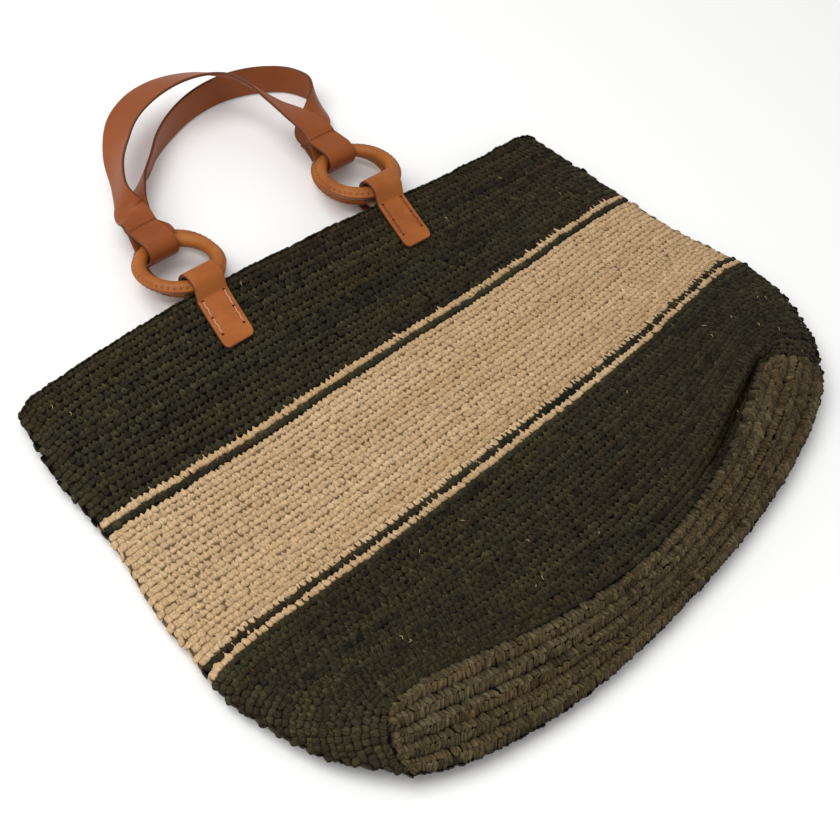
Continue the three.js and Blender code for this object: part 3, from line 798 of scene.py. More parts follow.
def blend(tree, share, first, second, blend_type="MIX"):
    """A colour mixed from two colours."""
    inputs = {0: share, 6: first if isinstance(first, bpy.types.NodeSocket) else (*first, 1)}
    inputs[7] = second if isinstance(second, bpy.types.NodeSocket) else (*second, 1)
    return node(tree, "ShaderNodeMix", inputs, data_type="RGBA", blend_type=blend_type).outputs[2]


def ranged(tree, value, low, high, first, last):
    """A value between low and high, spread from first to last."""
    return node(tree, "ShaderNodeMapRange", {0: value, 1: low, 2: high, 3: first, 4: last}).outputs[0]


def noise(tree, place, scale, detail, roughness):
    inputs = {"Vector": place, "Scale": scale, "Detail": detail, "Roughness": roughness}
    return node(tree, "ShaderNodeTexNoise", inputs).outputs[0]


def fact(tree, name):
    return node(tree, "ShaderNodeAttribute", attribute_name=name).outputs["Fac"]


def bumps(tree, height, strength, distance):
    inputs = {"Height": height, "Strength": strength, "Distance": distance}
    return node(tree, "ShaderNodeBump", inputs).outputs[0]


def output(tree, **inputs):
    inputs = {key.replace("_", " "): value for key, value in inputs.items()}
    shader = node(tree, "ShaderNodeBsdfPrincipled", inputs)
    node(tree, "ShaderNodeOutputMaterial", {"Surface": shader.outputs[0]})


# Raffia is split palm leaf, pulled to strands and crocheted by hand: matt, fine fibres along each stitch,
# painted shade in the hollows and grooves between stitches
def raffia_material(name, deep, light, warm, strand):
    material, tree = new_material(name)
    if tree is None:
        return material
    pattern = node(tree, "ShaderNodeUVMap", uv_map="pattern").outputs[0]
    stretched = node(tree, "ShaderNodeMapping", {"Vector": pattern, "Scale": FIBRE_STRETCH}).outputs[0]
    fibres = noise(tree, stretched, scale=1, detail=3, roughness=0.6)
    plain = blend(tree, fact(tree, "tone"), deep, light)
    tinted = blend(tree, fact(tree, "warmth"), plain, blend(tree, WARM_TINT, plain, warm))
    fibrous = blend(tree, 1, tinted, ranged(tree, fibres, 0.3, 0.7, strand.thin, strand.thick), "MULTIPLY")
    # Painted shade multiplied into the colour: darkest where the lit share is low, in the hollows and grooves
    # between stitches and on the skin under them
    shade = ranged(tree, fact(tree, "crest"), 0, strand.hollow_shade_reach, strand.hollow_shade, 1)
    colour = blend(tree, 1, fibrous, shade, "MULTIPLY")
    bump = bumps(tree, fibres, strength=0.5, distance=0.0004)
    output(tree, Base_Color=colour, Roughness=0.6, Normal=bump, IOR=1.45, Specular_IOR_Level=0.14)
    return material


def raffia(kind):
    looks = bpy.context.scene.raffia_bag_raffia
    names = {
        "dark": "raffia_dyed_dark_hand_crocheted",
        "base": "raffia_dyed_brown_hand_crocheted",
        "natural": "raffia_undyed_hand_crocheted",
    }
    colours = [getattr(looks, f"{kind}_{tone}")[:] for tone in ("deep", "light", "warm")]
    return raffia_material(names[kind], *colours, STRANDS[kind])


# Vegetable-tanned leather, cut to strips: soft sheen and cloudy tan outside, dark rubbed edges, suede inside
def leather_material(name, grain_side):
    material, tree = new_material(name)
    if tree is None:
        return material
    looks = bpy.context.scene.raffia_bag_leather
    place = node(tree, "ShaderNodeTexCoord").outputs["Object"]
    clouds = noise(tree, place, scale=38, detail=3, roughness=0.55)
    grain = noise(tree, place, scale=900, detail=2, roughness=0.6)
    pores = node(tree, "ShaderNodeTexVoronoi", {"Vector": place, "Scale": 1100}).outputs[0]
    flesh = fact(tree, "warmth")
    tan = blend(tree, ranged(tree, clouds, 0.35, 0.7, 0, 0.75), grain_side, looks.shade[:])
    flecked = blend(tree, 1, tan, ranged(tree, grain, 0.3, 0.7, 0.92, 1.07), "MULTIPLY")
    sided = blend(tree, flesh, flecked, looks.flesh[:])
    colour = blend(tree, fact(tree, "tone"), sided, looks.edge[:])
    rough = ranged(tree, flesh, 0, 1, 0.5, 0.9)
    height = node(tree, "ShaderNodeMath", {0: grain, 1: pores}, operation="ADD").outputs[0]
    bump = bumps(tree, height, strength=0.18, distance=0.0003)
    output(tree, Base_Color=colour, Roughness=rough, Normal=bump, IOR=1.5, Specular_IOR_Level=0.25)
    return material


# Waxed thread, turned wood, hole shade and paper: one even colour each, the thread with a little shine
def plain_material(name, colour, roughness):
    material, tree = new_material(name)
    if tree is not None:
        output(tree, Base_Color=(*colour, 1), Roughness=roughness, IOR=1.45, Specular_IOR_Level=0.3)
    return material


def leather_looks(which):
    looks = bpy.context.scene.raffia_bag_leather
    makers = {
        "strip": lambda: leather_material("leather_vegetable_tanned_cut_strip", looks.tan[:]),
        "strap": lambda: leather_material("leather_vegetable_tanned_two_faced_strap", looks.strap[:]),
        "ring": lambda: leather_material("leather_vegetable_tanned_skived_cover", looks.ring[:]),
        "thread": lambda: plain_material("linen_thread_waxed_brown", looks.thread[:], 0.5),
        "pale": lambda: plain_material("linen_thread_waxed_pale", looks.pale_thread[:], 0.5),
        "hole": lambda: plain_material("leather_punched_hole_shade", looks.hole[:], 0.9),
        "wood": lambda: plain_material("beech_turned_and_sanded", looks.wood[:], 0.55),
    }
    return makers[which]()


# Crochet

def backing_with_gap_shade(work, point, downs, turns, step):
    """The fabric under the stitches: an outer and an inner skin of one stretch, the outer one painted dark as
    the shade seen through the gaps between stitches.
    """
    down, turn = np.meshgrid(downs, turns, indexing="ij")
    places, along, upward, outward = surface_frame(point, down, turn, step)
    lengths = np.stack([turn * MOUTH_HALF_WIDTH, down], axis=-1)
    outer = places + outward * BACKING_OUT
    inner = places - outward * HALF_WALL
    work.add(outer[None], lengths[None], facts_of(*GAP_SHADE_SKIN_FACTS), OUTER_SKIN_MAP, flip=True)
    work.add(inner[None], lengths[None], facts_of(*INNER_SKIN_FACTS), INNER_SKIN_MAP)


class RAFFIABAG_OT_walls(bpy.types.Operator):
    """Crochet the rounds of the wall, in runs of one colour"""
    bl_idname = "raffia_bag.walls"
    bl_label = "Crochet walls"

    def execute(self, context):
        rng = np.random.default_rng(SEED)
        top = 0.0
        worked = 0
        for piece, reach, rounds, kind in WALL_RUNS:
            halves = {"front": Patchwork(), "back": Patchwork()}
            height = reach / rounds
            girth = round_lengths(wall_point, top + reach / 2, (0, 4))[1][-1]
            depths = top + (np.arange(rounds) + 0.5) * height
            rows = [self.row(depth, girth, kind, worked + i, rng) for i, depth in enumerate(depths)]
            downs = np.linspace(top, top + reach, rounds + 1)
            for half, stretch in (("front", (0, 2)), ("back", (2, 4))):
                row_facts = [np.concatenate(column) for column in zip(*(row[half] for row in rows))]
                self.add_half(halves[half], half, piece, height, row_facts, rng)
                turns = np.linspace(*stretch, WALL_BACKING_STEPS)
                backing_with_gap_shade(halves[half], wall_point, downs, turns, WALL_STEP)
            if piece == "rim_round":
                self.add_edge(halves, rng)
            slot = "natural_raffia" if kind == "natural" else "dark_raffia"
            for half, work in halves.items():
                nodes = (piece,) if half == "front" else ()
                work.build(f"{piece}_{half}", [raffia(kind)], "bag_body", slot, nodes)
            top += reach
            worked += rounds
        return {"FINISHED"}

    def row(self, depth, girth, kind, worked, rng):
        """Depth, turn, tone, warmth and width of every stitch of a round, on the front and on the back."""
        looks = bpy.context.scene.raffia_bag_raffia
        count = round(girth / looks.pitch * MM)
        turns, pitch = even_turns(wall_point, depth, count, ROUND_SHIFT * worked, (0, 4))
        tone, warmth = tones(kind, count, rng)
        row_facts = (np.full(count, depth), turns, tone, warmth, np.full(count, pitch * looks.overlap))
        masks = {"front": turns <= 2, "back": turns > 2}
        return {half: [values[mask] for values in row_facts] for half, mask in masks.items()}

    def add_half(self, work, half, piece, height, row_facts, rng):
        """The stitches of one half of a run, plain beads near the side folds and along the rim."""
        looks = bpy.context.scene.raffia_bag_raffia
        depth, turn, tone, warmth, width = row_facts
        rise = (looks.natural_rise if piece == "natural_band" else looks.rise) / MM
        frames = surface_frame(wall_point, depth, turn, WALL_STEP)
        above = wall_point(np.maximum(0, depth - ROUND_HEIGHT), turn) - frames[0]
        bend = (above * frames[3]).sum(axis=-1)
        inner = (np.abs(turn % 2 - 1) < SPIKES_TO) & (piece != "rim_round")
        for spike, mask, region in ((True, inner, SPIKE_STITCH_MAP), (False, ~inner, PLAIN_STITCH_MAP)):
            if not mask.any():
                continue
            length = (looks.length / MM if spike else PLAIN_BEAD_LENGTH) * height / ROUND_HEIGHT
            add_stitches(
                work, stitch_shape(STITCH_COLUMNS[half], spike), tuple(frame[mask] for frame in frames),
                (width[mask], length, rise), WALL_LAY, bend[mask], rng, tone[mask], warmth[mask], region
            )

    def add_edge(self, halves, rng):
        """The chain of loops along the rim."""
        turns = even_turns(wall_point, 0.0, RIM_STITCHES, 0, (0, 4))[0]
        depths = np.full(RIM_STITCHES, RIM_STITCH_DEPTH)
        place, along, upward, outward = surface_frame(wall_point, depths, turns, WALL_STEP)
        inner = np.abs(turns % 2 - 1) < RIM_CHAIN_TO
        shape = stitch_shape(STITCH_COLUMNS["front"], False)
        for half, mask in (("front", inner & (turns <= 2)), ("back", inner & (turns > 2))):
            frames = (place[mask], outward[mask], along[mask], upward[mask])
            amount = mask.sum()
            tone = np.clip(rng.normal(RIM_TONE, RIM_TONE_SPREAD, amount), 0, 1)
            warmth = rng.uniform(0, 1, amount)
            add_stitches(
                halves[half], shape, frames, RIM_STITCH_SIZE, RIM_LAY, 0.0, rng,
                tone, warmth, SPIKE_STITCH_MAP
            )


class RAFFIABAG_OT_base(bpy.types.Operator):
    """Crochet the oval base in ridges of slanted stitches"""
    bl_idname = "raffia_bag.base"
    bl_label = "Crochet base"

    def execute(self, context):
        looks = context.scene.raffia_bag_raffia
        rng = np.random.default_rng(SEED + 1)
        rows = 2 * BASE_RIDGES
        shape = stitch_shape(STITCH_COLUMNS["front"], False)
        for half, stretch in (("front", (0, 2)), ("back", (2, 4))):
            work = Patchwork()
            places, lines = row_lines(stretch, 2 * rows)
            for row in range(rows):
                low, middle, high = lines[2 * row:2 * row + 3]

                def on_row(offset, turn):
                    near = np.clip((turn - np.mean(stretch) + 2) % 4 - 2 + np.mean(stretch), *stretch)
                    return base_point(np.interp(near, places, middle) + offset, near)

                count = int(round_lengths(on_row, 0.0, stretch)[1][-1] / BASE_STITCH_PITCH)
                turns = even_turns(on_row, 0.0, count, 0.5 * (row % 2), stretch)[0]
                steps = base_point(np.interp(turns, places, high), turns)
                steps = steps - base_point(np.interp(turns, places, low), turns)
                fit = np.clip(np.linalg.norm(steps, axis=-1) / BASE_ROW_STEP, *BASE_ROW_FIT)
                side = 1 if row % 2 else -1
                lay = Lay(side * looks.base_slant, -side * BASE_RIDGE_RISE, BASE_LEVEL, BASE_LOOSE, -side)
                frames = surface_frame(on_row, np.zeros(count), turns, BASE_STEP)
                band = (0, BASE_ROWS_TOP * row / rows, 1, BASE_ROWS_TOP * (row + 1) / rows)
                self.add_row(work, shape, frames, fit, lay, rng, band)
            left = 1 if half == "back" else -1
            self.add_end(work, shape, 2 + left * BASE_END_INSET, left, rng)
            shares = np.linspace(BASE_STEP, 1 - BASE_STEP, rows + 1)
            backing_with_gap_shade(work, base_point, shares, np.linspace(*stretch, BASE_BACKING_STEPS), BASE_STEP)
            nodes = ("base_oval",) if half == "front" else ()
            work.build(f"base_oval_{half}", [raffia("base")], "bag_body", "base_raffia", nodes)
        return {"FINISHED"}

    def add_row(self, work, shape, frames, fit, lay, rng, band):
        """One row of slanted stitches."""
        looks = bpy.context.scene.raffia_bag_raffia
        size = (looks.base_width / MM, looks.base_length / MM * fit, looks.rise / MM)
        tone, warmth = tones("base", len(frames[0]), rng)
        add_stitches(work, shape, frames, size, lay, 0.0, rng, tone, warmth, band)

    def add_end(self, work, shape, turn, left, rng):
        """The row that turns round the left end, over the ends of the straight rows."""
        looks = bpy.context.scene.raffia_bag_raffia
        shares = np.linspace(0, 1, END_SAMPLES)
        reach = distances(base_point(shares, np.full(END_SAMPLES, turn)))
        places = np.arange(BASE_STITCH_PITCH / 2, reach[-1], BASE_STITCH_PITCH)
        lay = Lay(left * (math.pi / 2 - looks.base_slant), BASE_RIDGE_RISE, BASE_LEVEL, BASE_LOOSE, 1)
        turns = np.full(len(places), turn)
        frames = surface_frame(base_point, np.interp(places, reach, shares), turns, BASE_STEP)
        self.add_row(work, shape, frames, 1.0, lay, rng, BASE_END_MAP)


class RAFFIABAG_OT_fibres(bpy.types.Operator):
    """Leave short loose fibres standing out of the crochet"""
    bl_idname = "raffia_bag.fibres"
    bl_label = "Leave loose fibres"

    def execute(self, context):
        looks = context.scene.raffia_bag_raffia
        rng = np.random.default_rng(SEED + 2)
        depth = rng.uniform(FIBRE_INSET, WALL_DEPTH - FIBRE_INSET, looks.fibres)
        turn = rng.uniform(*FIBRE_TURNS, looks.fibres)
        place, along, upward, outward = surface_frame(wall_point, depth, turn, WALL_STEP)
        angle = rng.uniform(0, math.pi, (looks.fibres, 1))
        ahead = along * np.cos(angle) + upward * np.sin(angle)
        length = rng.uniform(*FIBRE_LENGTHS, (looks.fibres, 1, 1))
        share = np.linspace(-0.5, 0.5, FIBRE_STEPS)[None, :, None]
        arch = looks.rise / MM + FIBRE_LIFT - FIBRE_ARCH * share ** 2
        curl = rng.normal(0, FIBRE_CURL, (looks.fibres, 1, 1)) * share ** 2
        paths = place[:, None] + ahead[:, None] * share * length + outward[:, None] * arch
        paths = paths + np.cross(ahead, outward)[:, None] * curl
        work = Patchwork()
        add_threads(work, paths, FIBRE_RADIUS, WHOLE_MAP)
        work.build("stray_fibres", [raffia("natural")], "bag_body", "natural_raffia")
        return {"FINISHED"}


# Leather strips

STRIP_SIDES = np.array([-1, -0.996, -0.98, -0.95, -0.9, -0.7, -0.4, 0, 0.4, 0.7, 0.9, 0.95, 0.98, 0.996, 1])


def add_strip(work, points, normals, width, flesh_side):
    """A strip of leather with rubbed edges, from a grid of its middle surface (stations, sides, 3)."""
    edge = 1 - HALF_LEATHER / (width / 2)
    over = np.clip((np.abs(STRIP_SIDES) - edge) / (1 - edge), 0, 1)
    profile = (1 - over ** EDGE_ROUNDNESS) ** (1 / EDGE_ROUNDNESS)
    run = distances(points[:, len(STRIP_SIDES) // 2])
    from_end = np.minimum(run, run[-1] - run)
    end_over = np.clip(1 - from_end / HALF_LEATHER, 0, 1)
    end_profile = (1 - end_over ** EDGE_ROUNDNESS) ** (1 / EDGE_ROUNDNESS)
    thick = HALF_LEATHER * profile[None] * end_profile[:, None]
    rubbed = smooth_step(np.abs(STRIP_SIDES), mix(edge, 1, RUBBED_FROM), RUBBED_TO)
    rubbed = np.maximum(rubbed[None], end_over[:, None])
    pattern = np.stack(np.meshgrid(STRIP_SIDES * width / 2, run), axis=-1)
    for skin, flip, region in ((1, True, LEFT_MAP), (-1, False, RIGHT_MAP)):
        flesh = 1.0 if skin == flesh_side else 0.0
        surface = points + normals * (skin * thick)[..., None]
        work.add(surface[None], pattern[None], facts_of(rubbed, flesh, 0.0), region, flip=flip)


def tube(path, radius):
    """A thread along a path of points, pointed at both ends, as a grid."""
    path = np.asarray(path, float)
    ahead = unit(np.gradient(path, axis=0))
    helper = np.where(np.abs(ahead[:, 2:]) > THREAD_STEEP, [1.0, 0, 0], [0, 0, 1.0])
    first = unit(np.cross(ahead, helper))
    second = np.cross(ahead, first)
    share = np.linspace(0, 1, len(path))
    thick = radius * np.sqrt(np.clip(THREAD_POINT * np.minimum(share, 1 - share), THREAD_TIP, 1))
    turn = np.linspace(0, 2 * math.pi, THREAD_SIDES + 1)
    ring = np.cos(turn)[None, :, None] * first[:, None] + np.sin(turn)[None, :, None] * second[:, None]
    return path[:, None] + ring * thick[:, None, None]


def add_threads(work, paths, radius, region):
    """Threads that all have the same number of points."""
    grids = np.stack([tube(path, radius) for path in paths])
    work.add(grids, np.zeros(2), facts_of(0.5, 0.0, 1.0), region, flip=True)


def add_holes(work, places, normals, radius, region, material):
    """Small dishes on the leather where the awl went through, painted dark as the shade within the holes."""
    turn = np.linspace(0, 2 * math.pi, HOLE_STEPS)
    reach = np.array(HOLE_REACHES)
    grids = []
    for place, normal in zip(places, normals):
        first = unit(np.cross(normal, HOLE_ASKEW))
        second = np.cross(normal, first)
        ring = np.cos(turn)[:, None] * first + np.sin(turn)[:, None] * second
        lift = normal * (HOLE_LIFT - HOLE_DISH * reach)[:, None, None]
        grids.append(place + (reach[:, None, None] * radius) * ring[None] + lift)
    work.add(np.stack(grids), np.zeros(2), facts_of(0.5, 0.0, 1.0), region, material=material)


def loop_radius(strip_width, skew):
    """Middle radius of a leather loop that a ring turns in."""
    inward = RING_PIVOT_RADIUS - math.sqrt(RING_INNER_RADIUS ** 2 - (strip_width / 2) ** 2)
    sideways = RING_LIP_THICKNESS / 2 + skew * strip_width / 2
    reach = math.hypot(max(inward, RING_REACH), sideways)
    return (reach + SEAT_GAP) / math.cos(CAD_LOOP_SWEEP / CAD_FOLD_STEPS / 2) + HALF_LEATHER


TAB_LOOP_RADIUS = loop_radius(TAB_WIDTH, 0)
FRONT_PIVOT = (RIM_Y + RING_REACH + 2 * SEAT_GAP, FRONT_PIVOT_HEIGHT)
BACK_PIVOT = (FRONT_PIVOT[0] + BACK_SET_OUT, TAB_LOOP_RADIUS + HALF_LEATHER + SEAT_GAP)


class Handle(NamedTuple):
    """A handle: outer side of its tabs, pivot (y, z) and tilts (degrees) of its rings, lie of its strap."""
    outside: int
    pivot: tuple
    tilts: dict
    route: list
    rest: float
    rise: float
    shift: float


HANDLES = {
    "front": Handle(
        outside=1, pivot=FRONT_PIVOT, tilts={"left": 10.5, "right": 8.0},
        route=FRONT_ROUTE, rest=1.5 * STRAP_WIDTH, rise=20.0, shift=0.0
    ),
    "back": Handle(
        outside=-1, pivot=BACK_PIVOT, tilts={"left": 0.0, "right": 0.0},
        route=BACK_ROUTE, rest=0.5 * STRAP_WIDTH, rise=0.0, shift=14.0
    ),
}


def handle_x(face, side):
    return HANDLES[face].shift + (-0.5 if side == "left" else 0.5) * TAB_SPACING


def ring_tilt(face, side):
    return -math.radians(HANDLES[face].tilts[side])


def ring_end(face, side, radii):
    """A point on a ring's middle plane, so many pivot radii out from the tab."""
    y, z = HANDLES[face].pivot
    tilt = ring_tilt(face, side)
    reach = radii * RING_PIVOT_RADIUS
    return np.array([handle_x(face, side), y + reach * math.cos(tilt), z + reach * math.sin(tilt)])


def tab_leg(face, side, y, sideways, layer):
    """Middle of a tab's leg outside (1) or inside (-1) the wall."""
    is_front = face == "front"
    leg_start = RIM_Y - TAB_LEG_LENGTH
    share = np.clip((y - leg_start) / TAB_END_LENGTH, 0, 1)
    narrow = mix(TAB_END_SHARE, 1, np.sqrt(np.maximum(0, 1 - (1 - share) ** 2)))
    depth = RIM_Y - y
    x = handle_x(face, side) - depth * math.tan(math.radians(TAB_LEAN_DEG)) + sideways * narrow
    seat = HALF_WALL + SEAT_GAP + HALF_LEATHER
    z = wall_height(depth, x / half_width(depth), is_front) + layer * seat
    return np.stack(np.broadcast_arrays(x, y, z), axis=-1)


def tab_grid(face, side):
    """Middle surface of a tab: one leg outside the wall, a loop round the ring, one leg inside."""
    pivot, outside = HANDLES[face].pivot, HANDLES[face].outside
    leg_start = RIM_Y - TAB_LEG_LENGTH
    leg_places = np.linspace(leg_start + TAB_CORNER, RIM_Y - TAB_BEND, TAB_LEG_STEPS)
    places = np.concatenate([leg_start + np.array(TAB_END_STEPS), leg_places])
    between = np.array(JOIN_SHARES)[:, None]
    columns = []
    for share in STRIP_SIDES:
        sideways = share * TAB_WIDTH / 2
        legs = {layer: tab_leg(face, side, places, sideways, layer) for layer in (outside, -outside)}

        def touch(layer):
            top = legs[layer][-1]
            to_leg = math.atan2(layer * (top[2] - pivot[1]), top[1] - pivot[0]) % (2 * math.pi)
            opening = math.acos(TAB_LOOP_RADIUS / math.hypot(top[1] - pivot[0], top[2] - pivot[1]))
            return layer * (to_leg - opening)

        angle = np.linspace(touch(outside), touch(-outside), TAB_LOOP_STEPS)
        x = np.full_like(angle, handle_x(face, side) + sideways)
        y = pivot[0] + TAB_LOOP_RADIUS * np.cos(angle)
        loop = np.stack([x, y, pivot[1] + TAB_LOOP_RADIUS * np.sin(angle)], axis=-1)
        first = mix(legs[outside][-1], loop[0], between)
        last = mix(loop[-1], legs[-outside][-1], between)
        columns.append(np.concatenate([legs[outside], first, loop, last, legs[-outside][::-1]]))
    points = np.stack(columns, axis=1)
    ahead = np.gradient(points, axis=0)
    ahead[..., 0] = 0
    normals = unit(np.cross(np.array([1.0, 0, 0]), ahead))
    return points, normals


class RAFFIABAG_OT_tabs(bpy.types.Operator):
    """Fold the leather tabs round the rings and sew them through the wall"""
    bl_idname = "raffia_bag.tabs"
    bl_label = "Sew tabs"

    def execute(self, context):
        looks = context.scene.raffia_bag_leather
        radius = looks.thread_width / MM / 2
        for face in HANDLES:
            for side in ("left", "right"):
                name = f"tab_{face}_{side}"
                work = Patchwork()
                points, normals = tab_grid(face, side)
                add_strip(work, points, normals, TAB_WIDTH, -1)
                work.build(name, [leather_looks("strip")], "bag_body", "tab_leather", (name,))
                self.sew(face, side, HANDLES[face].outside, radius)
        return {"FINISHED"}

    def sew(self, face, side, outside, radius):
        """Two lines of long stitches through punched holes."""
        work = Patchwork()
        threads, holes, normals = [], [], []
        share = np.linspace(0, 1, TAB_THREAD_STEPS)
        arch = np.sin(share * math.pi)
        ys = RIM_Y - np.array(TAB_HOLES_BELOW_RIM)
        for line in (-0.5, 0.5):
            for first, last in zip(ys[:-1], ys[1:]):
                y = mix(first - TAB_STITCH_INSET, last + TAB_STITCH_INSET, share)
                path = tab_leg(face, side, y, line * TAB_STITCH_SPREAD, outside)
                path[:, 2] += outside * (HALF_LEATHER + TAB_THREAD_LIFT * (1 + arch))
                path[:, 0] += TAB_THREAD_WAVER * np.sin(share * TAB_THREAD_WAVES) * arch
                threads.append(path)
            marks = tab_leg(face, side, ys, line * TAB_STITCH_SPREAD, outside)
            marks[:, 2] += outside * HALF_LEATHER
            holes.extend(marks)
            normals.extend([np.array([0, 0, float(outside)])] * len(marks))
        add_threads(work, threads, radius, LOWER_MAP)
        add_holes(work, holes, normals, TAB_HOLE_RADIUS, UPPER_MAP, 1)
        thread = leather_looks("pale" if side == "left" else "thread")
        work.build(f"tab_stitches_{face}_{side}", [thread, leather_looks("hole")], "bag_body", "tab_leather")


def ring_points(face, side, around, section, radius):
    """Points by angle round a ring, angle round its section and distance from the section's middle."""
    tilt = ring_tilt(face, side)
    reach = RING_MEAN_RADIUS + radius * np.cos(section)
    x = reach * np.cos(around)
    y = reach * np.sin(around)
    flat = np.stack(np.broadcast_arrays(x, y, radius * np.sin(section)), axis=-1)
    turned = np.array([[1, 0, 0], [0, math.cos(tilt), -math.sin(tilt)], [0, math.sin(tilt), math.cos(tilt)]])
    return flat @ turned.T + ring_end(face, side, 1.0)


class RAFFIABAG_OT_rings(bpy.types.Operator):
    """Cover the wooden rings with leather, sewn along the outer lip"""
    bl_idname = "raffia_bag.rings"
    bl_label = "Cover rings"

    def execute(self, context):
        looks = context.scene.raffia_bag_leather
        angles = [np.linspace(0, 2 * math.pi, steps) for steps in (RING_STEPS, RING_SECTION_STEPS)]
        around, section = np.meshgrid(*angles, indexing="ij")
        from_lip = np.angle(np.exp(1j * section))
        lip = np.exp(-(from_lip / RING_LIP_ANGLE) ** 2)
        beside_lip = np.exp(-((np.abs(from_lip) - PUCKER_ANGLE) / PUCKER_WIDTH) ** 2)
        pucker = PUCKER_DEPTH * np.cos(around * RING_TICKS) * beside_lip
        cover_radius = RING_TUBE_RADIUS + (RING_LIP + RING_LIP_OVER) * lip + pucker
        seam = RING_SEAM_SHADE * np.exp(-(from_lip / RING_SEAM_ANGLE) ** 2)
        pattern = np.stack([section * RING_TUBE_RADIUS, around * RING_MEAN_RADIUS], axis=-1)
        every = np.s_[::RING_CORE_SKIP, ::RING_CORE_SKIP]
        for face in HANDLES:
            for side in ("left", "right"):
                body = f"{face}_{side}_ring"
                cover = Patchwork()
                points = ring_points(face, side, around, section, cover_radius)
                cover.add(points[None], pattern[None], facts_of(seam, 0.0, 1.0), WHOLE_MAP)
                name = f"ring_cover_{face}_{side}"
                cover.build(name, [leather_looks("ring")], body, "ring_leather", (name,))
                core = Patchwork()
                points = ring_points(face, side, around[every], section[every], RING_CORE_RADIUS)
                core.add(points[None], pattern[every][None], facts_of(0.0, 0.0, 1.0), WHOLE_MAP)
                name = f"ring_core_{face}_{side}"
                core.build(name, [leather_looks("wood")], body, "ring_core_wood", (name,))
                self.sew(face, side, body, RING_THREAD_SHARE * looks.thread_width / MM)
        return {"FINISHED"}

    def sew(self, face, side, body, radius):
        """Short stitches across the lip, on both sides."""
        work = Patchwork()
        section = np.linspace(*RING_TICK_ANGLES, RING_TICK_STEPS)
        reach = RING_TUBE_RADIUS + RING_LIP * np.exp(-(section / RING_LIP_ANGLE) ** 2) + RING_TICK_LIFT
        angles = np.linspace(0, 2 * math.pi, RING_TICKS, endpoint=False)
        for half, region in ((1, LEFT_MAP), (-1, RIGHT_MAP)):
            ticks = [ring_points(face, side, angle, half * section, reach) for angle in angles]
            add_threads(work, ticks, radius, region)
        work.build(f"ring_stitches_{face}_{side}", [leather_looks("thread")], body, "ring_leather")


def curve_through(knots, count):
    """Points on a centripetal curve through knots, with each point's place along the knots."""
    knots = np.asarray(knots, float)
    padded = np.concatenate([[2 * knots[0] - knots[1]], knots, [2 * knots[-1] - knots[-2]]])
    places = np.linspace(0, len(knots) - 1, count)
    made = []
    for place in places:
        low = min(int(place), len(knots) - 2)
        share = place - low
        p0, p1, p2, p3 = padded[low:low + 4]
        steps = np.linalg.norm(np.diff(padded[low:low + 4], axis=0), axis=1)
        d0, d1, d2 = np.maximum(np.sqrt(steps), LEAST_STEP)
        t1 = ((p1 - p0) / d0 - (p2 - p0) / (d0 + d1) + (p2 - p1) / d1) * d1
        t2 = ((p2 - p1) / d1 - (p3 - p1) / (d1 + d2) + (p3 - p2) / d2) * d1
        cubic = 2 * p1 - 2 * p2 + t1 + t2
        square = 3 * p2 - 3 * p1 - 2 * t1 - t2
        made.append(p1 + t1 * share + square * share ** 2 + cubic * share ** 3)
    return np.array(made), places


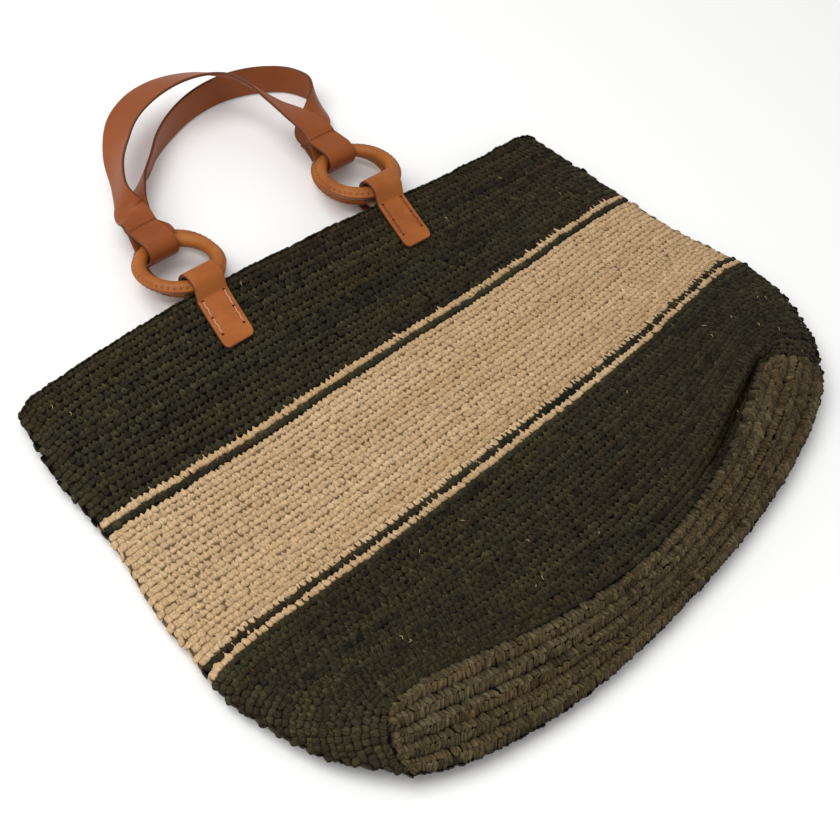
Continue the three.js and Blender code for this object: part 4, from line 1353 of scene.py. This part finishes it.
def strap_lines(face):
    """Middle line, widths and normals of a strap folded round both rings, with its ends and directions."""
    handle = HANDLES[face]
    left, right = (ring_end(face, side, 2.0) for side in ("left", "right"))
    axis = unit(right - left)
    skew = math.hypot(axis[1], axis[2]) / axis[0]
    radius = loop_radius(STRAP_WIDTH, skew)
    rise = math.radians(handle.rise)
    outward = np.array([0, math.cos(rise), math.sin(rise)])
    outward = unit(outward - axis * outward.dot(axis))
    upward = np.cross(axis, outward)
    to_loop = math.acos(radius / math.hypot(STRAP_CLOSING, STRAP_LAYER))
    opening = math.atan2(STRAP_LAYER, STRAP_CLOSING) + to_loop

    def place(end, out, up):
        return end + outward * out + upward * up

    def fold(end):
        outs = np.linspace(STRAP_TAIL, STRAP_CLOSING, STRAP_TAIL_STEPS)
        tail = [place(end, out, -STRAP_LAYER) for out in outs]
        turns = np.linspace(-opening, opening - 2 * math.pi, STRAP_LOOP_STEPS)
        loop = [place(end, radius * math.cos(turn), radius * math.sin(turn)) for turn in turns]
        first = [mix(tail[-1], loop[0], share) for share in JOIN_SHARES]
        closed = place(end, STRAP_CLOSING, STRAP_LAYER)
        last = [mix(loop[-1], closed, share) for share in CLOSE_SHARES]
        return np.array(tail + first + loop + last)

    def straight(end):
        return [place(end, out, STRAP_LAYER) for out in (STRAP_CLOSING, STRAP_TAIL + STRAP_STRAIGHT)]

    rings_end = (left[1] + right[1]) / 2
    middle = [
        [handle.shift + across * TAB_SPACING, rings_end + beyond, handle.rest + height]
        for across, beyond, height, stand in handle.route
    ]
    arch, places = curve_through(straight(left) + middle + straight(right)[::-1], STRAP_ARCH_STEPS)
    stands = [0, 0] + [stand for across, beyond, height, stand in handle.route] + [0, 0]
    stand = np.interp(places, np.arange(len(stands)), stands)[1:-1]
    ease = np.hanning(STRAP_ROLL_EASE)
    stand = np.convolve(np.pad(stand, len(ease) // 2 - 1, mode="edge"), ease[1:-1] / ease.sum(), "valid")
    arch = arch[1:-1]
    ahead = unit(np.gradient(arch, axis=0))
    level = unit(np.cross(ahead, [0, 0, 1.0]))
    turn = stand[:, None] * math.pi / 2
    width = level * np.cos(turn) + np.array([0, 0, 1.0]) * np.sin(turn)
    start, finish = fold(left), fold(right)[::-1]
    path = np.concatenate([start, arch, finish])
    widths = np.concatenate([np.tile(axis, (len(start), 1)), width, np.tile(-axis, (len(finish), 1))])
    ahead = unit(np.gradient(path, axis=0))
    widths = unit(widths - ahead * np.sum(widths * ahead, axis=1, keepdims=True))
    normals = unit(np.cross(widths, ahead))
    return path, widths, normals, (left, right), (axis, outward, upward)


class RAFFIABAG_OT_straps(bpy.types.Operator):
    """Fold the straps round their rings and sew them to their own tails"""
    bl_idname = "raffia_bag.straps"
    bl_label = "Sew straps"

    def execute(self, context):
        looks = context.scene.raffia_bag_leather
        for face in HANDLES:
            path, widths, normals, ends, directions = strap_lines(face)
            name, body = f"strap_{face}", f"{face}_strap"
            strap = Patchwork()
            points = path[:, None] + widths[:, None] * (STRIP_SIDES[None, :, None] * STRAP_WIDTH / 2)
            add_strip(strap, points, np.repeat(normals[:, None], len(STRIP_SIDES), 1), STRAP_WIDTH, 0)
            strap.build(name, [leather_looks("strap")], body, "strap_leather", (name,))
            seams = Patchwork()
            threads = [thread for end in ends for thread in self.seam(end, *directions)]
            add_threads(seams, threads, STRAP_THREAD_SHARE * looks.thread_width / MM, WHOLE_MAP)
            seams.build(f"strap_stitches_{face}", [leather_looks("thread")], body, "strap_leather")
        return {"FINISHED"}

    def seam(self, end, axis, outward, upward):
        """Short stitches across the strap on both skins, where it is sewn to its tail."""
        share = np.linspace(-0.5, 0.5, STRAP_STITCH_STEPS)
        lift = STRAP_LAYER + HALF_LEATHER + STRAP_THREAD_LIFT
        threads = []
        for across in np.linspace(-STRAP_SEAM_REACH, STRAP_SEAM_REACH, STRAP_SEAM_STITCHES):
            for skin in (1, -1):
                middle = end + outward * (STRAP_CLOSING + STRAP_SEAM_FREE) + upward * (skin * lift)
                middle = middle + axis * across * STRAP_WIDTH
                threads.append(middle + axis * (share * STRAP_STITCH_LENGTH)[:, None])
        return threads


class RAFFIABAG_OT_stage(bpy.types.Operator):
    """Set up the floor, the soft light and the camera"""
    bl_idname = "raffia_bag.stage"
    bl_label = "Set stage"

    def execute(self, context):
        looks = context.scene.raffia_bag_stage
        scene = context.scene
        scene.view_settings.view_transform = "Standard"
        corners = [(x * FLOOR_HALF, y * FLOOR_HALF, 0) for x, y in ((-1, -1), (1, -1), (1, 1), (-1, 1))]
        mesh = bpy.data.meshes.new("floor")
        mesh.from_pydata(corners, [], [(0, 1, 2, 3)])
        floor = bpy.data.objects.new("floor", mesh)
        scene.collection.objects.link(floor)
        mesh.materials.append(plain_material("paper_backdrop_white_matt", looks.floor[:], 0.95))
        lamp = bpy.data.lights.new("soft_key", "AREA")
        lamp.shape = "DISK"
        lamp.size = LAMP_SIZE
        lamp.energy = looks.key
        key = bpy.data.objects.new("soft_key", lamp)
        key.location = LAMP_PLACE
        key.rotation_euler = (Vector(LAMP_AIM) - key.location).to_track_quat("-Z", "Y").to_euler()
        scene.collection.objects.link(key)
        self.surround(scene, looks.sky)
        self.place_camera(scene)
        return {"FINISHED"}

    def surround(self, scene, strength):
        """Even white light all round, plain white behind the object."""
        world = bpy.data.worlds.new("studio")
        scene.world = world
        world.use_nodes = True
        tree = world.node_tree
        tree.nodes.clear()
        path = node(tree, "ShaderNodeLightPath")
        level = ranged(tree, path.outputs["Is Camera Ray"], 0, 1, strength, 1)
        sky = node(tree, "ShaderNodeBackground", {"Color": (1, 1, 1, 1), "Strength": level})
        node(tree, "ShaderNodeOutputWorld", {"Surface": sky.outputs[0]})

    def place_camera(self, scene):
        data = bpy.data.cameras.new("camera")
        data.lens = CAMERA_LENS
        data.sensor_width = CAMERA_SENSOR
        data.sensor_fit = "HORIZONTAL"
        data.clip_end = CAMERA_REACH
        camera = bpy.data.objects.new("camera", data)
        look = Vector(CAMERA_LOOK).normalized()
        right = Vector(CAMERA_RIGHT)
        right = (right - look * right.dot(look)).normalized()
        up = right.cross(look)
        turn = Matrix((right, up, -look)).transposed().to_4x4()
        camera.matrix_world = Matrix.Translation(CAMERA_PLACE) @ turn
        scene.collection.objects.link(camera)
        scene.camera = camera


class RAFFIABAG_PT_panel(bpy.types.Panel):
    """Buttons that build the bag piece by piece"""
    bl_idname = "RAFFIABAG_PT_panel"
    bl_label = "Raffia Bag"
    bl_space_type = "VIEW_3D"
    bl_region_type = "UI"
    bl_category = "Raffia Bag"

    def draw(self, context):
        for operator in OPERATORS:
            self.layout.operator(operator.bl_idname)
        for settings in SETTINGS:
            group = getattr(context.scene, settings)
            for name in group.bl_rna.properties.keys():
                if name not in {"rna_type", "name"}:
                    self.layout.prop(group, name)


OPERATORS = (
    RAFFIABAG_OT_walls,
    RAFFIABAG_OT_base,
    RAFFIABAG_OT_fibres,
    RAFFIABAG_OT_tabs,
    RAFFIABAG_OT_rings,
    RAFFIABAG_OT_straps,
    RAFFIABAG_OT_stage,
)
SETTINGS = {
    "raffia_bag_raffia": RaffiaSettings,
    "raffia_bag_leather": LeatherSettings,
    "raffia_bag_stage": StageSettings,
}


def register():
    for name, settings in SETTINGS.items():
        bpy.utils.register_class(settings)
        setattr(bpy.types.Scene, name, bpy.props.PointerProperty(type=settings))
    for operator in OPERATORS:
        bpy.utils.register_class(operator)
    bpy.utils.register_class(RAFFIABAG_PT_panel)


def unregister():
    bpy.utils.unregister_class(RAFFIABAG_PT_panel)
    for operator in reversed(OPERATORS):
        bpy.utils.unregister_class(operator)
    for name, settings in SETTINGS.items():
        delattr(bpy.types.Scene, name)
        bpy.utils.unregister_class(settings)


def main():
    register()
    bpy.ops.raffia_bag.walls()
    bpy.ops.raffia_bag.base()
    bpy.ops.raffia_bag.fibres()
    bpy.ops.raffia_bag.tabs()
    bpy.ops.raffia_bag.rings()
    bpy.ops.raffia_bag.straps()
    bpy.ops.raffia_bag.stage()


if __name__ == "__main__":
    main()
